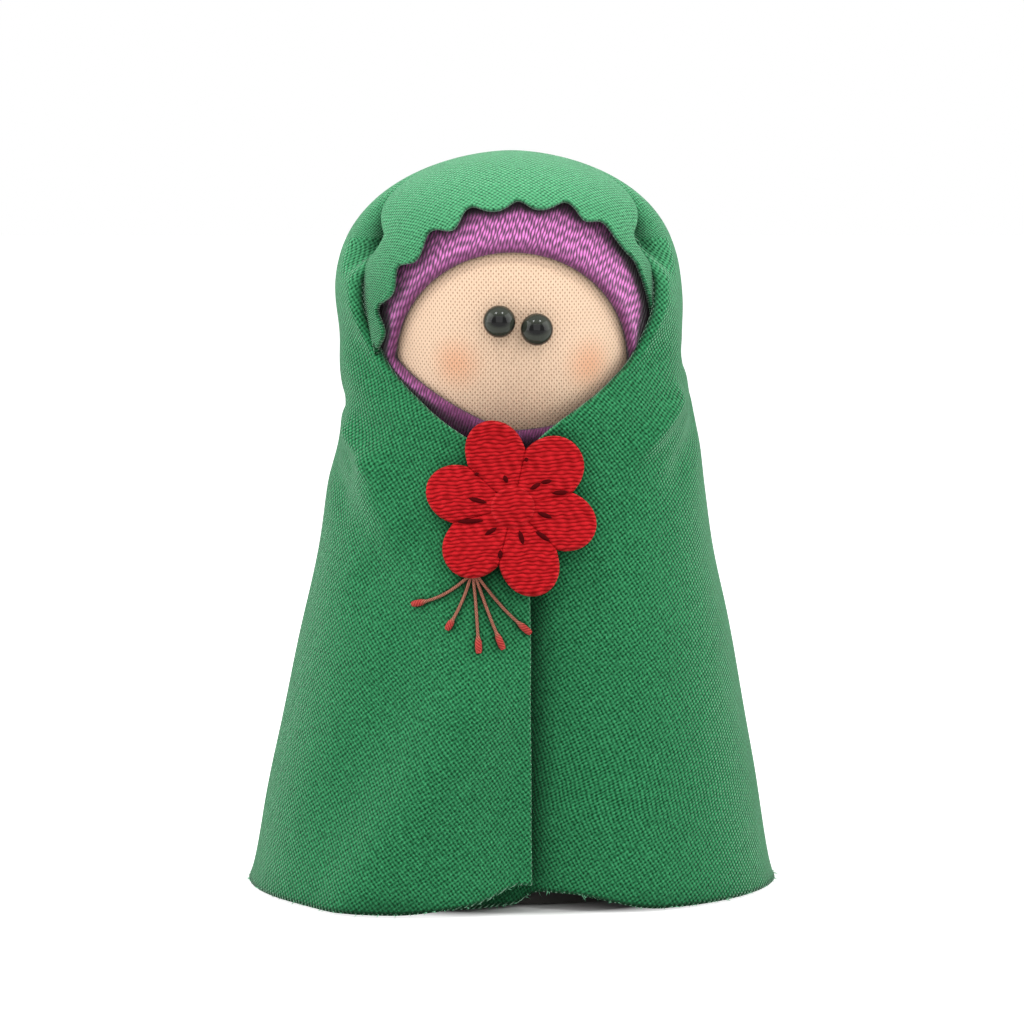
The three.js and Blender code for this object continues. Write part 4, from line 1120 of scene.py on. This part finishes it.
# Thread tails: loose ends of the red thread, left hanging from under the lowest petals, each with
# a thicker knotted tip.
tail_thread, tail_tip, tail_sides = 0.19, 0.42, 10
tail_root_across, tail_root_gap, tail_root_drop = -4.8, 0.28, 8.3
tail_tips = [(-12.5, 12.0), (-7.9, 14.8), (-4.0, 17.6), (-1.1, 17.2), (2.4, 15.4)]
tail_bows = (0.9, 0.5, 0.25, -0.2, -0.6)
tail_finish, tree, shader = new_finish("red_thread_tail", 0.8, 0.05, 0.1)
threads = effect(tree, laid_threads, Pitch=0.3, Turn=0.9)
thin_colour = mix_colour(tree, threads["Height"], (0.20, 0.055, 0.04, 1), (0.46, 0.19, 0.125, 1))
tip_colour = mix_colour(tree, threads["Height"], (0.28, 0.018, 0.016, 1), (0.54, 0.07, 0.058, 1))
tipped = marked_share(tree, "tip")
cover(tree, shader, mix_colour(tree, tipped, thin_colour, tip_colour), threads["Height"], 0.06)
for index, (tip_across, tip_drop) in enumerate(tail_tips):
    share = np.linspace(0, 1, 40)
    root_across = tail_root_across + tail_root_gap * (index - 2)
    root_z = flower_z - tail_root_drop
    bow = tail_bows[index] * np.sin(np.pi * share)
    across = root_across + (tip_across - root_across) * share + 0.3 * bow
    heights = root_z + (flower_z - tip_drop - root_z) * share - 0.6 * np.abs(bow)
    degrees = np.degrees(np.arcsin((across - veil_sway(heights)) / veil_halves(heights)[0]))
    stand_off = 0.34 + 0.3 * fade(share, 0, 0.3)
    route = veil_point(degrees, heights, veil_out(360 + np.minimum(degrees, 5.9), heights) + stand_off)
    tip = smooth_step(share, 0.74, 0.86)
    radii = tail_thread + (tail_tip - tail_thread) * tip * (1 - 0.5 * smooth_step(share, 0.95, 1.0))
    tail = tube_piece(f"tail_{index + 1}", route, radii, tail_finish, tail_sides, (0, 1, 0.1))
    mark_points(tail, "tip", np.repeat(tip, tail_sides))
    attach(tail, "torso")
    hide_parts(f"thread_tail_{index + 1}")


# Studio: a pale floor that shows white to the camera and keeps the doll's shadow, two bulbs above,
# soft boxes at both sides and in front, and the camera in front, a little above the doll.
def seen_directly(tree):
    """1 for what the camera sees, also in a shiny or clear spot; 0 for light that falls on things."""
    path = shader_node(tree, "ShaderNodeLightPath").outputs
    seen = maths(tree, "MAXIMUM", path["Is Camera Ray"], path["Is Transmission Ray"])
    return maths(tree, "MAXIMUM", seen, path["Is Glossy Ray"])


floor_finish, tree, shader = new_finish("pale_floor", 0.9)
shader.inputs["Base Color"].default_value = (0.6, 0.6, 0.595, 1)
shader.inputs["Emission Color"].default_value = (1, 1, 1, 1)
here = object_place(tree)
foot_share = (1 / MM / hem_half_width, 1 / MM / hem_half_depth, 0)
from_doll = vector_maths(tree, "LENGTH", vector_maths(tree, "MULTIPLY", here, foot_share))
white_share = 0.0
for near, far, white in ((0.84, 0.98, 0.85), (0.98, 3.0, 0.15)):
    white_share = maths(tree, "ADD", map_range(tree, from_doll, near, far, 0.0, white), white_share)
shown_white = maths(tree, "MULTIPLY", seen_directly(tree), white_share)
tree.links.new(shown_white, shader.inputs["Emission Strength"])
floor_reach, floor_drop = 1600, 0.3
floor_corners = floor_reach * np.array([(-1, -1, 0), (1, -1, 0), (1, 1, 0), (-1, 1, 0)])
floor = make_piece("floor", floor_corners, [(0, 1, 2, 3)], floor_finish)
floor.location.z = -floor_drop * MM


def look_at(made, spot):
    made.rotation_euler = (spot - made.location).to_track_quat("-Z", "Y").to_euler()


aim = Vector((0, 0, 47.35)) * MM
camera_distance, camera_elevation = 500 * MM, math.radians(7)
camera_data = bpy.data.cameras.new("camera")
camera_data.sensor_width = 36
camera_data.lens = 137.3
camera_data.clip_start = 0.01
camera = new_object("camera", camera_data)
camera.location = aim + camera_distance * Vector((0, -math.cos(camera_elevation), math.sin(camera_elevation)))
look_at(camera, aim)
bpy.context.scene.camera = camera

for name, place, power, size in (
    ("bulb_above_left", (-0.19, -0.2, 0.6), 0.7, 0.1),
    ("bulb_above_right", (0.19, -0.2, 0.6), 0.7, 0.1),
    ("soft_box_left", (-0.5, -0.1, 0.26), 2.25, 0.5),
    ("soft_box_right", (0.5, -0.12, 0.26), 2.25, 0.5),
    ("soft_box_front", (0.0, -0.65, 0.32), 2.1, 0.6),
):
    lamp_data = bpy.data.lights.new(name, "AREA")
    lamp_data.energy = power
    lamp_data.size = size
    lamp = new_object(name, lamp_data)
    lamp.location = place
    look_at(lamp, aim)

world = bpy.data.worlds.new("studio_air")
world.use_nodes = True
bpy.context.scene.world = world
tree = world.node_tree
background = tree.nodes["Background"]
background.inputs["Color"].default_value = (1, 1, 1, 1)
air_strength = times_plus(tree, seen_directly(tree), 0.84, 0.16)
tree.links.new(air_strength, background.inputs["Strength"])
bpy.context.scene.view_settings.view_transform = "Standard"
